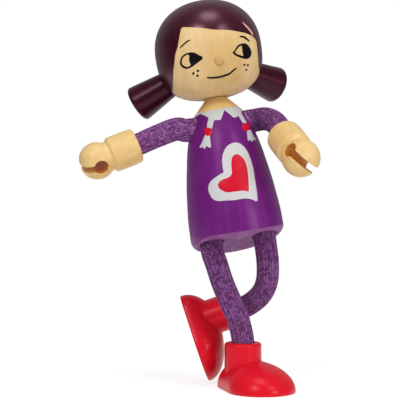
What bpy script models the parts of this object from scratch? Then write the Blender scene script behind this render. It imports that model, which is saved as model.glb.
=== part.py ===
"""Wooden bendy doll, posed in mid stride.

Turned wooden head, body, hands and shoes sit on braided cords with a bendy wire core.
Right and left are the doll's own. The doll faces -Y, +Z is up, and the origin is on the
sole of the standing right shoe, under the ankle. Lengths are in millimetres here, and
scaled to metres when each mesh is made.
"""
import math

import bmesh
import bpy
import numpy as np
from mathutils import Matrix, Vector

MM = 0.001
GAP = 0.3                     # clearance left between pieces that touch

# Head, a turned ball with a flatter underside
HEAD_RADIUS = 14.8
HEAD_RISE = 14.0              # equator to crown
HEAD_DROP = 13.4              # equator to underside
CROWN_POWER = 2.2             # superellipse powers above and below the equator
CHIN_POWER = 2.7
NECK_SEAT_RADIUS = 4.0        # flat turned on the underside for the neck

# Body, turned in one piece with its neck
HEM_RADIUS = 13.1
HEM_ROUND = 1.7
HEM_SLANT = math.radians(17.0)  # the underside faces down and forward by this much
SHOULDER_HEIGHT = 35.65       # hem centre to the foot of the neck
NECK_FOOT_RADIUS = 6.55
NECK_RADIUS = 3.25
NECK_HEIGHT = 39.55           # hem centre to the neck's flat top
HEAD_CENTRE_HEIGHT = 53.0     # hem centre to the head's equator
ARM_BORE_HEIGHT = 32.05
LEG_BORE_OFFSET = 7.5
LEG_BORE_DEPTH = 9.0
SKIRT = [                     # height above the hem centre, radius
    (6.9, 12.95), (11.0, 12.55), (15.0, 12.1), (18.3, 11.6), (21.7, 11.0),
    (25.2, 10.35), (28.2, 9.6), (30.8, 8.7), (33.4, 7.55), (SHOULDER_HEIGHT, NECK_FOOT_RADIUS),
]
THROAT = [                    # height above the hem centre, radius
    (36.1, 6.1), (37.1, 5.3), (37.9, 4.55), (38.6, 3.85), (39.15, 3.4),
]

# Tenon, pins and pegs
TENON_RADIUS = 2.25           # turned on top of the neck, for the head to turn on
TENON_LENGTH = 8.0
TAIL_PIN_RADIUS = 1.25
TAIL_PIN_LENGTH = 8.0
NOSE_RADIUS = 0.95
NOSE_DROP = 4.9               # below the equator
NOSE_ASIDE = math.radians(-2.0)  # round the head from the middle between the pigtails
NOSE_STEM_RADIUS = 0.6
NOSE_STEM_LENGTH = 3.2

# Pigtails, turned cones with the wide end out
TAIL_LENGTH = 10.0
TAIL_INNER_RADIUS = 3.9
TAIL_OUTER_RADIUS = 5.25
TAIL_ROUND = 0.9
TAIL_SIDE_ANGLE = math.radians(116.0)   # from the middle of the face, round the head
TAIL_SEAT_DROP = 7.4          # below the equator
TAIL_DROOP = math.radians(21.5)

# Cords and their core
CORD_RADIUS = 3.2
WIRE_RADIUS = 0.75
WIRE_BORE_RADIUS = 1.15
CORD_SIDES = 12               # an even number: its channel has half as many
WIRE_SIDES = 6
STATION_STEP = 2.2            # spacing of the rings along a cord
BORE_RADIUS = CORD_RADIUS + GAP

# Hands, a barrel and a ball with a gripping hole and a slot
HAND_LENGTH = 16.75
BARREL_LENGTH = 8.0
BARREL_RADIUS = 4.95
CUFF_RADIUS = 4.85
BALL_RADIUS = 5.15
BALL_CENTRE = 11.9
GRIP_RADIUS = 1.95
SLOT_WIDTH = 2.0
HAND_BORE_DEPTH = 5.2

# Shoes, half an egg with a round ankle
SHOE_HEEL = 8.6               # behind the ankle's axis
SHOE_TOE = 17.1               # in front of it
SHOE_HEEL_RADIUS = 4.6
SHOE_TOE_RADIUS = 9.4
SHOE_DOME = 8.4
SHOE_CROWN = 1.9              # the dome's highest place, in front of the ankle's axis
ANKLE_RADIUS = 5.15
ANKLE_HEIGHT = 13.0
ANKLE_ROUND = 0.75
SHOE_BORE_DEPTH = 7.5

# How the doll is posed
BODY_ROLL = math.radians(9.0)   # leans to its right
BODY_LEAN = math.radians(1.0)   # leans back
BODY_TURN = math.radians(9.0)   # turns to its left
HEAD_TURN = math.radians(2.0)   # more than the body
HEM_CENTRE = Vector((-1.36, 0.0, 41.6))
STANDING_TURN = math.radians(51.0)
RAISED_SOLE = Vector((-14.95, 12.5, 16.65))
RAISED_TILT = math.radians(71.0)
RIGHT_CUFF = Vector((-29.2, -3.2, 67.65))
RIGHT_REACH = Vector((-0.91, -0.17, -0.37))
RIGHT_GRIP = Vector((0.19, -0.86, -0.475))
LEFT_CUFF = Vector((10.6, -9.1, 69.95))
LEFT_REACH = Vector((0.34, -0.775, -0.535))
LEFT_GRIP = Vector((-0.62, -0.70, 0.35))

# Where the cords go between the wooden pieces
ARM_CLEAR = 9.8               # the arm cord runs straight this far from the body's axis
RIGHT_ARM_ROUTE = [(-18.1, -1.2, 72.15), (-23.6, -2.0, 70.2)]
LEFT_ARM_ROUTE = [(5.7, 0.9, 75.1), (7.9, -2.4, 74.4), (9.55, -5.9, 72.5)]
RIGHT_LEG_ROUTE = [
    (-8.5, -1.9, 38.0), (-7.55, -2.5, 35.3), (-5.5, -2.9, 29.1), (-3.05, -2.4, 23.5),
    (-1.3, -1.3, 19.2), (-0.25, -0.2, 14.9),
]
LEFT_LEG_ROUTE = [
    (6.5, 1.35, 39.0), (6.95, 2.0, 35.2), (6.9, 4.2, 30.0), (5.6, 7.0, 26.1),
    (2.6, 10.0, 23.0), (0.3, 11.8, 21.65),
]

# Bend zones: from and to, measured from where the cord leaves the body, the piece that
# bends there, its joint, and the straight piece that follows it
ARM_BENDS = [
    (0.2, 4.3, "shoulder_bend", "shoulder_raise", "shoulder_cord"),
    (5.4, 9.4, "upper_arm_bend", "shoulder_swing", "upper_arm_cord"),
    (10.5, 13.7, "elbow_bend", "elbow_bend", "forearm_cord"),
]
LEG_BENDS = [
    (0.9, 6.1, "hip_bend", "hip_swing", "hip_cord"),
    (8.0, 13.0, "thigh_bend", "hip_spread", "thigh_cord"),
    (14.9, 19.9, "knee_bend", "knee_bend", "shin_cord"),
    (23.2, 28.3, "ankle_bend", "ankle_tilt", "ankle_cord"),
]

# Across each knee, square to the way that its leg is bent
RIGHT_KNEE_AXIS = Vector((-0.99, -0.13, 0.0))
LEFT_KNEE_AXIS = Vector((0.45, 0.87, 0.27))

BARE_WOOD = (0.80, 0.62, 0.38)
HAIR_PAINT = (0.050, 0.006, 0.018)
BODY_PAINT = (0.150, 0.015, 0.180)
SHOE_PAINT = (0.680, 0.012, 0.028)
CORD_COLOUR = (0.110, 0.030, 0.180)
WIRE_COLOUR = (0.55, 0.55, 0.57)


def frame(origin, x_axis, y_axis, z_axis):
    """The placement with this origin, in millimetres, and these unit axes."""
    place = Matrix.Identity(4)
    for column, axis in enumerate((x_axis, y_axis, z_axis)):
        for row in range(3):
            place[row][column] = axis[row]
    place.translation = Vector(origin) * MM
    return place


def upright_frame(origin, up, turn):
    """A frame whose Z is up, turned about it by turn from facing -Y."""
    z_axis = up.normalized()
    side = Vector((z_axis.z, 0.0, -z_axis.x)).normalized()
    back = z_axis.cross(side)
    x_axis = side * math.cos(turn) + back * math.sin(turn)
    return frame(origin, x_axis, z_axis.cross(x_axis), z_axis)


def reach_frame(origin, reach, across):
    """A frame whose Z runs along reach, with Y as near to across as it can be."""
    z_axis = reach.normalized()
    y_axis = (across - z_axis * across.dot(z_axis)).normalized()
    return frame(origin, y_axis.cross(z_axis), y_axis, z_axis)


def point_in(place, x, y, z):
    """A point of a frame, in millimetres, as a world point in millimetres."""
    return place @ (Vector((x, y, z)) * MM) / MM


def paint(name, colour, roughness, metallic=0.0):
    """A plain Principled material."""
    material = bpy.data.materials.new(name)
    material.use_nodes = True
    shader = material.node_tree.nodes["Principled BSDF"]
    shader.inputs["Base Color"].default_value = (*colour, 1.0)
    shader.inputs["Roughness"].default_value = roughness
    shader.inputs["Metallic"].default_value = metallic
    material.diffuse_color = (*colour, 1.0)
    return material


def add_object(name, mesh_data, place, colour, roughness=0.5, metallic=0.0, crease=35.0):
    """An object from a bmesh in millimetres, at its place, shaded smooth."""
    bmesh.ops.recalc_face_normals(mesh_data, faces=mesh_data.faces)
    bmesh.ops.scale(mesh_data, vec=(MM, MM, MM), verts=mesh_data.verts)
    mesh = bpy.data.meshes.new(name)
    mesh_data.to_mesh(mesh)
    mesh_data.free()
    mesh.shade_smooth()
    mesh.set_sharp_from_angle(angle=math.radians(crease))
    mesh.materials.append(paint(name, colour, roughness, metallic))
    thing = bpy.data.objects.new(name, mesh)
    bpy.context.collection.objects.link(thing)
    thing.matrix_world = place
    return thing


def turned(profile, steps):
    """A bmesh turned about Z from (radius, height) points, both ends on the axis."""
    shape = bmesh.new()
    points = [shape.verts.new((radius, 0.0, height)) for radius, height in profile]
    edges = [shape.edges.new(pair) for pair in zip(points, points[1:])]
    bmesh.ops.spin(
        shape, geom=points + edges, cent=(0, 0, 0), axis=(0, 0, 1),
        angle=math.tau, steps=steps, use_merge=True,
    )
    bmesh.ops.remove_doubles(shape, verts=shape.verts, dist=1e-4)
    return shape


def arc(centre, radius, start, end, count):
    """Points of an arc in the (radius, height) plane, angles in degrees."""
    angles = [math.radians(start + (end - start) * i / count) for i in range(count + 1)]
    return [(centre[0] + radius * math.cos(a), centre[1] + radius * math.sin(a)) for a in angles]


def rod(length, radius, steps, rounding=0.15):
    """A bmesh of a dowel along Z from 0, with eased ends."""
    return turned([
        (0.0, 0.0), (radius - rounding, 0.0), (radius, rounding),
        (radius, length - rounding), (radius - rounding, length), (0.0, length),
    ], steps)


def cut(thing, shape, place):
    """Cut a bmesh, placed by place, out of a thing."""
    cutter = add_object(thing.name + "_cutter", shape, place, BARE_WOOD)
    cutter.hide_render = True
    cutter.display_type = "WIRE"
    modifier = thing.modifiers.new("Cut", "BOOLEAN")
    modifier.operation = "DIFFERENCE"
    modifier.object = cutter


def drill(thing, place, radius, start, end, steps=20):
    """Cut a round hole along a frame's Z, from start to end."""
    shape = turned([(0.0, start), (radius, start), (radius, end), (0.0, end)], steps)
    cut(thing, shape, place)


def box(size_x, size_y, low_z, high_z):
    """A bmesh box centred on Z."""
    shape = bmesh.new()
    height = high_z - low_z
    place = Matrix.Translation((0, 0, (low_z + high_z) / 2)) @ Matrix.Diagonal((size_x, size_y, height, 1))
    bmesh.ops.create_cube(shape, size=1.0, matrix=place)
    return shape


class Route:
    """A smooth cord route through points, read by the distance along it."""

    def __init__(self, points, samples_per_span=24):
        ring = [np.array(p, dtype=float) for p in points]
        ring = [2 * ring[0] - ring[1]] + ring + [2 * ring[-1] - ring[-2]]
        knots = [0.0]
        for a, b in zip(ring, ring[1:]):
            knots.append(knots[-1] + math.sqrt(np.linalg.norm(b - a)))
        line = []
        for i in range(1, len(ring) - 2):
            for j in range(samples_per_span):
                line.append(self.blend(ring[i - 1:i + 3], knots[i - 1:i + 3], j / samples_per_span))
        line.append(ring[-2])
        self.line = np.array(line)
        steps = np.linalg.norm(np.diff(self.line, axis=0), axis=1)
        self.distance = np.concatenate([[0.0], np.cumsum(steps)])
        self.length = float(self.distance[-1])

    @staticmethod
    def blend(p, t, share):
        """A point of a centripetal Catmull-Rom span, between its middle points."""
        s = t[1] + (t[2] - t[1]) * share
        a = [(t[i + 1] - s) / (t[i + 1] - t[i]) * p[i] + (s - t[i]) / (t[i + 1] - t[i]) * p[i + 1] for i in range(3)]
        b = [(t[i + 2] - s) / (t[i + 2] - t[i]) * a[i] + (s - t[i]) / (t[i + 2] - t[i]) * a[i + 1] for i in range(2)]
        return (t[2] - s) / (t[2] - t[1]) * b[0] + (s - t[1]) / (t[2] - t[1]) * b[1]

    def at(self, distance):
        """The point at a distance along the route."""
        return Vector([float(np.interp(distance, self.distance, self.line[:, k])) for k in range(3)])

    def heading(self, distance):
        """The unit direction of travel at a distance."""
        low = max(distance - 0.4, 0.0)
        high = min(distance + 0.4, self.length)
        return (self.at(high) - self.at(low)).normalized()

    def nearest(self, point):
        """The distance along the route of the place nearest to a point."""
        gaps = np.linalg.norm(self.line - np.array(point), axis=1)
        return float(self.distance[int(gaps.argmin())])


def cord_length(route, start, end, outer, inner, sides, step):
    """A bmesh of a tube along a route; inner 0 makes it solid.

    The bore has half as many sides as the outside.
    """
    count = max(1, math.ceil((end - start) / step))
    shape = bmesh.new()
    outer_rings = []
    inner_rings = []
    heading = route.heading(start)
    across = heading.orthogonal().normalized()
    for i in range(count + 1):
        distance = start + (end - start) * i / count
        turn = heading.rotation_difference(route.heading(distance))
        across = turn @ across
        heading = route.heading(distance)
        up = heading.cross(across)
        centre = route.at(distance)
        rims = []
        for radius, count_round in ((outer, sides), (inner, sides // 2)):
            if radius > 0:
                angles = [math.tau * k / count_round for k in range(count_round)]
                rims.append([
                    shape.verts.new(centre + (across * math.cos(a) + up * math.sin(a)) * radius)
                    for a in angles
                ])
        outer_rings.append(rims[0])
        if inner > 0:
            inner_rings.append(rims[1])
    for rings in (outer_rings, inner_rings):
        for low, high in zip(rings, rings[1:]):
            for k in range(len(low)):
                shape.faces.new((low[k - 1], low[k], high[k], high[k - 1]))
    for end_index in (0, -1):
        if inner > 0:
            out, bore = outer_rings[end_index], inner_rings[end_index]
            for k in range(sides // 2):
                shape.faces.new((out[2 * k - 2], out[2 * k - 1], out[2 * k], bore[k], bore[k - 1]))
        else:
            shape.faces.new(outer_rings[end_index])
    return shape


WORLD = Matrix.Identity(4)


def add_cord(name, route, start, end):
    """One length of braided cord, with the channel that its wire runs in."""
    shape = cord_length(route, start, end, CORD_RADIUS, WIRE_BORE_RADIUS, CORD_SIDES, STATION_STEP)
    return add_object(name, shape, WORLD, CORD_COLOUR, roughness=0.9, crease=50.0)


def add_wire(name, route):
    """The bendy wire of one whole cord, a little short of both its ends."""
    shape = cord_length(route, 1.0, route.length - 1.0, WIRE_RADIUS, 0.0, WIRE_SIDES, STATION_STEP)
    return add_object(name, shape, WORLD, WIRE_COLOUR, roughness=0.35, metallic=1.0)


def body_frame():
    """The body's frame, from the middle of its hem."""
    up = Vector((-math.sin(BODY_ROLL), math.sin(BODY_LEAN), math.cos(BODY_ROLL)))
    return upright_frame(HEM_CENTRE, up, BODY_TURN)


def head_frame(body_place):
    """The head's frame, from the middle of its equator."""
    turn = Matrix.Rotation(HEAD_TURN, 4, "Z")
    return body_place @ Matrix.Translation((0, 0, HEAD_CENTRE_HEIGHT * MM)) @ turn


def head_radius_at(height):
    """The head's radius at a height from its equator."""
    reach, power = (HEAD_RISE, CROWN_POWER) if height > 0 else (HEAD_DROP, CHIN_POWER)
    return HEAD_RADIUS * (1.0 - (abs(height) / reach) ** power) ** (1.0 / power)


def make_body(place):
    """The body, neck and tenon, turned in one piece, with a slanted underside."""
    hem = arc((HEM_RADIUS - HEM_ROUND, HEM_ROUND), HEM_ROUND, -90.0, 0.0, 5)
    skirt = hem + [(radius, height) for height, radius in SKIRT]
    throat = [(radius, height) for height, radius in THROAT]
    top = NECK_HEIGHT + TENON_LENGTH
    tenon = [(TENON_RADIUS, NECK_HEIGHT), (TENON_RADIUS, top - 0.4), (TENON_RADIUS - 0.4, top)]
    profile = [(0.0, 0.0)] + skirt + throat + [(NECK_RADIUS, NECK_HEIGHT)] + tenon + [(0.0, top)]
    shape = turned(profile, 36)
    for vertex in shape.verts:
        if vertex.co.z < HEM_ROUND + 0.01:
            vertex.co.z -= vertex.co.y * math.tan(HEM_SLANT)
    body = add_object("body", shape, place, BODY_PAINT, roughness=0.25)

    sideways = place @ Matrix.Translation((0, 0, ARM_BORE_HEIGHT * MM)) @ Matrix.Rotation(math.pi / 2, 4, "Y")
    drill(body, sideways, BORE_RADIUS, -20.0, 20.0, 24)
    for side in (-1, 1):
        leg = place @ Matrix.Translation((side * LEG_BORE_OFFSET * MM, 0, 0))
        drill(body, leg, BORE_RADIUS, -12.0, LEG_BORE_DEPTH, 24)
    return body


def make_head(place, body_place, tail_places, nose_place):
    """The turned head, with its neck seat and the holes for its pegs."""
    rings = 9
    crown = [HEAD_RISE * math.sin(math.pi / 2 * i / rings) for i in range(rings)]
    chin = [-HEAD_DROP * math.sin(math.pi / 2 * i / rings) for i in range(1, rings)]
    profile = [(0.0, HEAD_RISE)] + [(head_radius_at(z), z) for z in reversed(crown)]
    profile += [(head_radius_at(z), z) for z in chin] + [(0.0, -HEAD_DROP)]
    head = add_object("head", turned(profile, 36), place, HAIR_PAINT, roughness=0.2)
    drill(head, body_place, NECK_SEAT_RADIUS, 30.0, NECK_HEIGHT + GAP, 32)
    drill(head, body_place, TENON_RADIUS + GAP, 30.0, NECK_HEIGHT + TENON_LENGTH + GAP, 20)
    for tail_place in tail_places:
        drill(head, tail_place, TAIL_PIN_RADIUS + GAP, -TAIL_PIN_LENGTH / 2 - GAP, 8.0, 14)
    drill(head, nose_place, NOSE_STEM_RADIUS + GAP, -NOSE_STEM_LENGTH - GAP, 4.0, 12)
    return head


def tail_frame(head_place, side):
    """A pigtail's frame: Z out along it, from where its axis meets the head."""
    radius = head_radius_at(-TAIL_SEAT_DROP)
    around = Vector((side * math.sin(TAIL_SIDE_ANGLE), -math.cos(TAIL_SIDE_ANGLE), 0.0))
    seat = around * radius + Vector((0.0, 0.0, -TAIL_SEAT_DROP))
    out = around * math.cos(TAIL_DROOP) + Vector((0.0, 0.0, -math.sin(TAIL_DROOP)))
    origin = head_place @ (seat * MM) / MM
    turn = head_place.to_3x3()
    return reach_frame(origin, turn @ out, turn @ Vector((0.0, 0.0, 1.0)))


def make_pigtail(name, place, head_place):
    """A turned cone whose inner end is hollowed to sit on the head."""
    inner = -2.5
    taper = (TAIL_OUTER_RADIUS - TAIL_INNER_RADIUS) / TAIL_LENGTH
    start = TAIL_INNER_RADIUS + taper * inner
    outer = TAIL_OUTER_RADIUS - taper * TAIL_ROUND
    rim = arc((outer - TAIL_ROUND, TAIL_LENGTH - TAIL_ROUND), TAIL_ROUND, 0.0, 90.0, 4)
    profile = [(0.0, inner), (start, inner)] + rim + [(0.0, TAIL_LENGTH)]
    tail = add_object(name, turned(profile, 24), place, HAIR_PAINT, roughness=0.2)
    rings = 9
    heights = [math.sin(math.pi / 2 * i / rings) for i in range(rings)]
    bowl = [(0.0, HEAD_RISE + GAP)]
    bowl += [(head_radius_at(h * HEAD_RISE) + GAP, h * HEAD_RISE) for h in reversed(heights)]
    bowl += [(head_radius_at(-h * HEAD_DROP) + GAP, -h * HEAD_DROP) for h in heights[1:]]
    bowl += [(0.0, -HEAD_DROP - GAP)]
    cut(tail, turned(bowl, 36), head_place)
    drill(tail, place, TAIL_PIN_RADIUS + GAP, -6.0, TAIL_PIN_LENGTH / 2 + GAP, 14)
    return tail


def make_tail_pin(name, place):
    """The dowel between a pigtail and the head."""
    middle = place @ Matrix.Translation((0, 0, -TAIL_PIN_LENGTH / 2 * MM))
    return add_object(name, rod(TAIL_PIN_LENGTH, TAIL_PIN_RADIUS, 12), middle, BARE_WOOD)


def nose_frame(head_place):
    """The nose's frame: Z out of the face."""
    drop = NOSE_DROP
    turned_place = head_place @ Matrix.Rotation(NOSE_ASIDE, 4, "Z")
    origin = point_in(turned_place, 0.0, -head_radius_at(-drop), -drop)
    turn = turned_place.to_3x3()
    return reach_frame(origin, turn @ Vector((0.0, -1.0, -0.06)), turn @ Vector((0.0, 0.0, 1.0)))


def make_nose(place):
    """A small round-headed peg."""
    low = GAP
    dome = [
        (NOSE_RADIUS * math.cos(a), low + 0.15 + 0.55 * math.sin(a))
        for a in (math.radians(90.0 * i / 5) for i in range(5))
    ]
    profile = [(0.0, -NOSE_STEM_LENGTH), (NOSE_STEM_RADIUS, -NOSE_STEM_LENGTH), (NOSE_STEM_RADIUS, low)]
    profile += [(NOSE_RADIUS, low)] + dome + [(0.0, low + 0.7)]
    return add_object("nose_peg", turned(profile, 14), place, BARE_WOOD)


def make_hand(name, place):
    """A turned hand, drilled for its cord and slotted to grip."""
    cuff = arc((CUFF_RADIUS - 0.7, 0.7), 0.7, -90.0, 0.0, 4)
    barrel = [(BARREL_RADIUS, BARREL_LENGTH - 1.2), (BARREL_RADIUS - 0.1, BARREL_LENGTH - 0.25)]
    barrel += [(BARREL_RADIUS - 0.45, BARREL_LENGTH)]
    back = BALL_CENTRE - BARREL_LENGTH + 0.55
    front = HAND_LENGTH - BALL_CENTRE
    ball = []
    for i in range(1, 11):
        angle = math.radians(-60.0 + 150.0 * i / 11)
        reach = back if angle < 0 else front
        ball.append((BALL_RADIUS * math.cos(angle) ** 0.85, BALL_CENTRE + reach * math.sin(angle)))
    neck = (3.75, BARREL_LENGTH + 0.05)
    profile = [(0.0, 0.0)] + cuff + barrel + [neck] + ball + [(0.0, HAND_LENGTH)]
    hand = add_object(name, turned(profile, 24), place, BARE_WOOD, roughness=0.45)
    drill(hand, place, BORE_RADIUS, -3.0, HAND_BORE_DEPTH, 24)
    across = place @ Matrix.Translation((0, 0, BALL_CENTRE * MM)) @ Matrix.Rotation(math.pi / 2, 4, "X")
    drill(hand, across, GRIP_RADIUS, -9.0, 9.0, 20)
    cut(hand, box(SLOT_WIDTH, 18.0, BALL_CENTRE, HAND_LENGTH + 3.0), place)
    return hand


def sole_outline(count):
    """The egg-shaped sole: a small heel arc and a large toe arc joined by tangents."""
    heel_x = SHOE_HEEL_RADIUS - SHOE_HEEL
    toe_x = SHOE_TOE - SHOE_TOE_RADIUS
    lean = math.asin((SHOE_TOE_RADIUS - SHOE_HEEL_RADIUS) / (toe_x - heel_x))
    turn = math.pi / 2 + lean
    toe_count = count * 3 // 5
    heel_count = count - toe_count
    points = []
    for i in range(toe_count):
        angle = -turn + 2 * turn * i / (toe_count - 1)
        points.append((toe_x + SHOE_TOE_RADIUS * math.cos(angle), SHOE_TOE_RADIUS * math.sin(angle)))
    for i in range(heel_count):
        angle = turn + (2 * math.pi - 2 * turn) * (i + 0.5) / heel_count
        points.append((heel_x + SHOE_HEEL_RADIUS * math.cos(angle), SHOE_HEEL_RADIUS * math.sin(angle)))
    return points


def make_shoe(name, place):
    """A solid shoe: half an egg, a round ankle and a bore for the leg's cord."""
    rim = sole_outline(36)
    levels = 7
    dome = bmesh.new()
    rings = []
    eased = 0.35
    rings.append([dome.verts.new((SHOE_CROWN + (x - SHOE_CROWN) * 0.985, y * 0.98, 0.0)) for x, y in rim])
    for i in range(levels):
        angle = math.pi / 2 * i / levels
        height = eased + (SHOE_DOME - eased) * math.sin(angle)
        share = math.cos(angle)
        rings.append([
            dome.verts.new((SHOE_CROWN + (x - SHOE_CROWN) * share, y * share, height)) for x, y in rim
        ])
    top = dome.verts.new((SHOE_CROWN, 0.0, SHOE_DOME))
    for low, high in zip(rings, rings[1:]):
        for k in range(len(rim)):
            dome.faces.new((low[k - 1], low[k], high[k], high[k - 1]))
    for k in range(len(rim)):
        dome.faces.new((rings[-1][k - 1], rings[-1][k], top))
    dome.faces.new(list(reversed(rings[0])))
    shoe = add_object(name, dome, place, SHOE_PAINT, roughness=0.18)

    rounding = arc((ANKLE_RADIUS - ANKLE_ROUND, ANKLE_HEIGHT - ANKLE_ROUND), ANKLE_ROUND, 0.0, 90.0, 4)
    ankle = [(0.0, 2.0), (ANKLE_RADIUS, 2.0)] + rounding + [(0.0, ANKLE_HEIGHT)]
    cuff = add_object(name + "_ankle_guide", turned(ankle, 28), place, SHOE_PAINT)
    cuff.hide_render = True
    cuff.display_type = "WIRE"
    join = shoe.modifiers.new("Ankle", "BOOLEAN")
    join.operation = "UNION"
    join.object = cuff
    drill(shoe, place, BORE_RADIUS, ANKLE_HEIGHT - SHOE_BORE_DEPTH, ANKLE_HEIGHT + 3.0, 24)
    return shoe


def standing_frame():
    """The standing shoe: sole on the ground, toe to the front and the doll's left."""
    toe = Vector((math.cos(STANDING_TURN), -math.sin(STANDING_TURN), 0.0))
    up = Vector((0.0, 0.0, 1.0))
    return frame((0.0, 0.0, 0.0), toe, up.cross(toe), up)


def raised_frame():
    """The raised shoe: toe down behind the standing one."""
    toe = Vector((math.cos(RAISED_TILT), 0.0, -math.sin(RAISED_TILT)))
    up = Vector((math.sin(RAISED_TILT), 0.0, math.cos(RAISED_TILT)))
    return frame(RAISED_SOLE, toe, up.cross(toe), up)


def pivot(name, point, axis):
    """An empty on a joint, with Z along its axis."""
    empty = bpy.data.objects.new(name, None)
    empty.empty_display_type = "SINGLE_ARROW"
    empty.empty_display_size = 6 * MM
    bpy.context.collection.objects.link(empty)
    empty.matrix_world = reach_frame(point, axis, axis.orthogonal())
    return empty


def hang(children, parent):
    """Parent things to another without moving them."""
    for child in children:
        child.parent = parent
        child.matrix_parent_inverse = parent.matrix_world.inverted()


def make_limb(side, route, leave, bends, axes, parent, tip):
    """A limb's cord pieces and pivots, from the body out to its wooden tip.

    The cord is one piece on the real doll. Here it is cut at its bend zones, so that
    the lengths between them can turn.
    """
    for index, (low, high, bend_name, joint_name, straight_name) in enumerate(bends):
        start = leave + low
        end = leave + high
        hang([add_cord(f"{side}_{bend_name}", route, start, end)], parent)
        middle = (start + end) / 2
        axis = square_to(route.heading(middle), axes[index])
        joint = pivot(f"{side}_{joint_name}_axis", route.at(middle), axis)
        hang([joint], parent)
        parent = joint
        stop = leave + bends[index + 1][0] - GAP if index + 1 < len(bends) else route.length
        hang([add_cord(f"{side}_{straight_name}", route, end + GAP, stop)], parent)
    hang([tip], parent)


def make_arms(place, hands):
    """The arm cord, one length through both arms and the body's cross bore."""
    side_axis = (place.to_3x3() @ Vector((1.0, 0.0, 0.0))).normalized()
    middle = point_in(place, 0.0, 0.0, ARM_BORE_HEIGHT)
    routes = {}
    for side, sign, cuff, reach, free in (
        ("right", -1, RIGHT_CUFF, RIGHT_REACH.normalized(), RIGHT_ARM_ROUTE),
        ("left", 1, LEFT_CUFF, LEFT_REACH.normalized(), LEFT_ARM_ROUTE),
    ):
        depth = HAND_BORE_DEPTH - GAP
        inside = [middle + side_axis * sign * d for d in (0.0, 3.0, 6.0, ARM_CLEAR)]
        outside = [cuff + reach * d for d in (0.0, depth * 0.5, depth)]
        routes[side] = Route(inside + [Vector(p) for p in free] + outside)
    whole = Route([Vector(p) for p in routes["right"].line[::-6]] + [Vector(p) for p in routes["left"].line[6::6]])
    centre = whole.nearest(middle)
    hub = add_cord("arm_cord_middle", whole, centre - ARM_CLEAR, centre + ARM_CLEAR)
    wire = add_wire("arm_wire", whole)
    front = (place.to_3x3() @ Vector((0.0, -1.0, 0.0))).normalized()
    up = (place.to_3x3() @ Vector((0.0, 0.0, 1.0))).normalized()
    for side, sign in (("right", -1), ("left", 1)):
        axes = [front * -sign, up * -sign, front * -sign]
        make_limb(side, routes[side], ARM_CLEAR, ARM_BENDS, axes, hub, hands[side])
    return hub, wire


def square_to(heading, wish):
    """The unit axis nearest to wish that is square to a heading."""
    return (wish - heading * wish.dot(heading)).normalized()


def make_leg(side, place, sign, shoe, free, knee_axis):
    """One leg's cord and wire, from its bore in the body to its bore in the shoe."""
    root = point_in(place, sign * LEG_BORE_OFFSET, 0.0, 0.0)
    top = point_in(place, sign * LEG_BORE_OFFSET, 0.0, LEG_BORE_DEPTH - GAP)
    shoe_place = shoe.matrix_world
    ankle = point_in(shoe_place, 0.0, 0.0, ANKLE_HEIGHT)
    bottom = point_in(shoe_place, 0.0, 0.0, ANKLE_HEIGHT - SHOE_BORE_DEPTH + GAP)
    points = [top, (top + root) / 2, root] + [Vector(p) for p in free] + [ankle, (ankle + bottom) / 2, bottom]
    route = Route(points)
    leave = route.nearest(root)
    stub = add_cord(f"{side}_leg_cord_root", route, 0.0, leave + LEG_BENDS[0][0] - GAP)
    wire = add_wire(f"{side}_leg_wire", route)
    across = (place.to_3x3() @ Vector((1.0, 0.0, 0.0))).normalized()
    front = (place.to_3x3() @ Vector((0.0, -1.0, 0.0))).normalized()
    shoe_across = (shoe_place.to_3x3() @ Vector((0.0, 1.0, 0.0))).normalized()
    axes = [across, front * sign, knee_axis, shoe_across]
    make_limb(side, route, leave, LEG_BENDS, axes, stub, shoe)
    return stub, wire


def main():
    """Build the doll."""
    for thing in list(bpy.data.objects):
        bpy.data.objects.remove(thing)
    body_place = body_frame()
    head_place = head_frame(body_place)
    body = make_body(body_place)

    tails = {"right": tail_frame(head_place, -1), "left": tail_frame(head_place, 1)}
    nose_place = nose_frame(head_place)
    head = make_head(head_place, body_place, tails.values(), nose_place)
    head_joint = pivot("head_turn_axis", point_in(body_place, 0, 0, NECK_HEIGHT), body_place.to_3x3() @ Vector((0, 0, 1)))
    hang([head], head_joint)
    hang([make_nose(nose_place)], head)
    for side, tail_place in tails.items():
        tail = make_pigtail(f"{side}_pigtail", tail_place, head_place)
        pin = make_tail_pin(f"{side}_pigtail_pin", tail_place)
        hang([tail, pin], head)

    hands = {
        "right": make_hand("right_hand", reach_frame(RIGHT_CUFF, RIGHT_REACH, RIGHT_GRIP)),
        "left": make_hand("left_hand", reach_frame(LEFT_CUFF, LEFT_REACH, LEFT_GRIP)),
    }
    hub, arm_wire = make_arms(body_place, hands)
    right_shoe = make_shoe("right_shoe", standing_frame())
    left_shoe = make_shoe("left_shoe", raised_frame())
    right_stub, right_wire = make_leg("right", body_place, -1, right_shoe, RIGHT_LEG_ROUTE, RIGHT_KNEE_AXIS)
    left_stub, left_wire = make_leg("left", body_place, 1, left_shoe, LEFT_LEG_ROUTE, LEFT_KNEE_AXIS)
    hang([hub, arm_wire, right_stub, right_wire, left_stub, left_wire, head_joint], body)
    for joint in sorted(o.name for o in bpy.data.objects if o.type == "EMPTY"):
        place = bpy.data.objects[joint].matrix_world
        axis = place.to_3x3() @ Vector((0, 0, 1))
        spot = ", ".join(f"{v:.5f}" for v in place.translation)
        print(f"joint {joint}: pos_m [{spot}], axis [{axis.x:.5f}, {axis.y:.5f}, {axis.z:.5f}]")


main()
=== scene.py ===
"""Looks of the bendy doll: turned, lacquered wood on braided cords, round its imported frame.

Sizes are in millimetres, and each mesh is scaled to metres when it is handed over. Right
and left are the doll's own. Pixels are those of the 400 by 400 photograph.
"""
from __future__ import annotations

import logging
import math
from collections.abc import Callable, Sequence
from dataclasses import dataclass, field
from enum import Enum
from functools import cache

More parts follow.
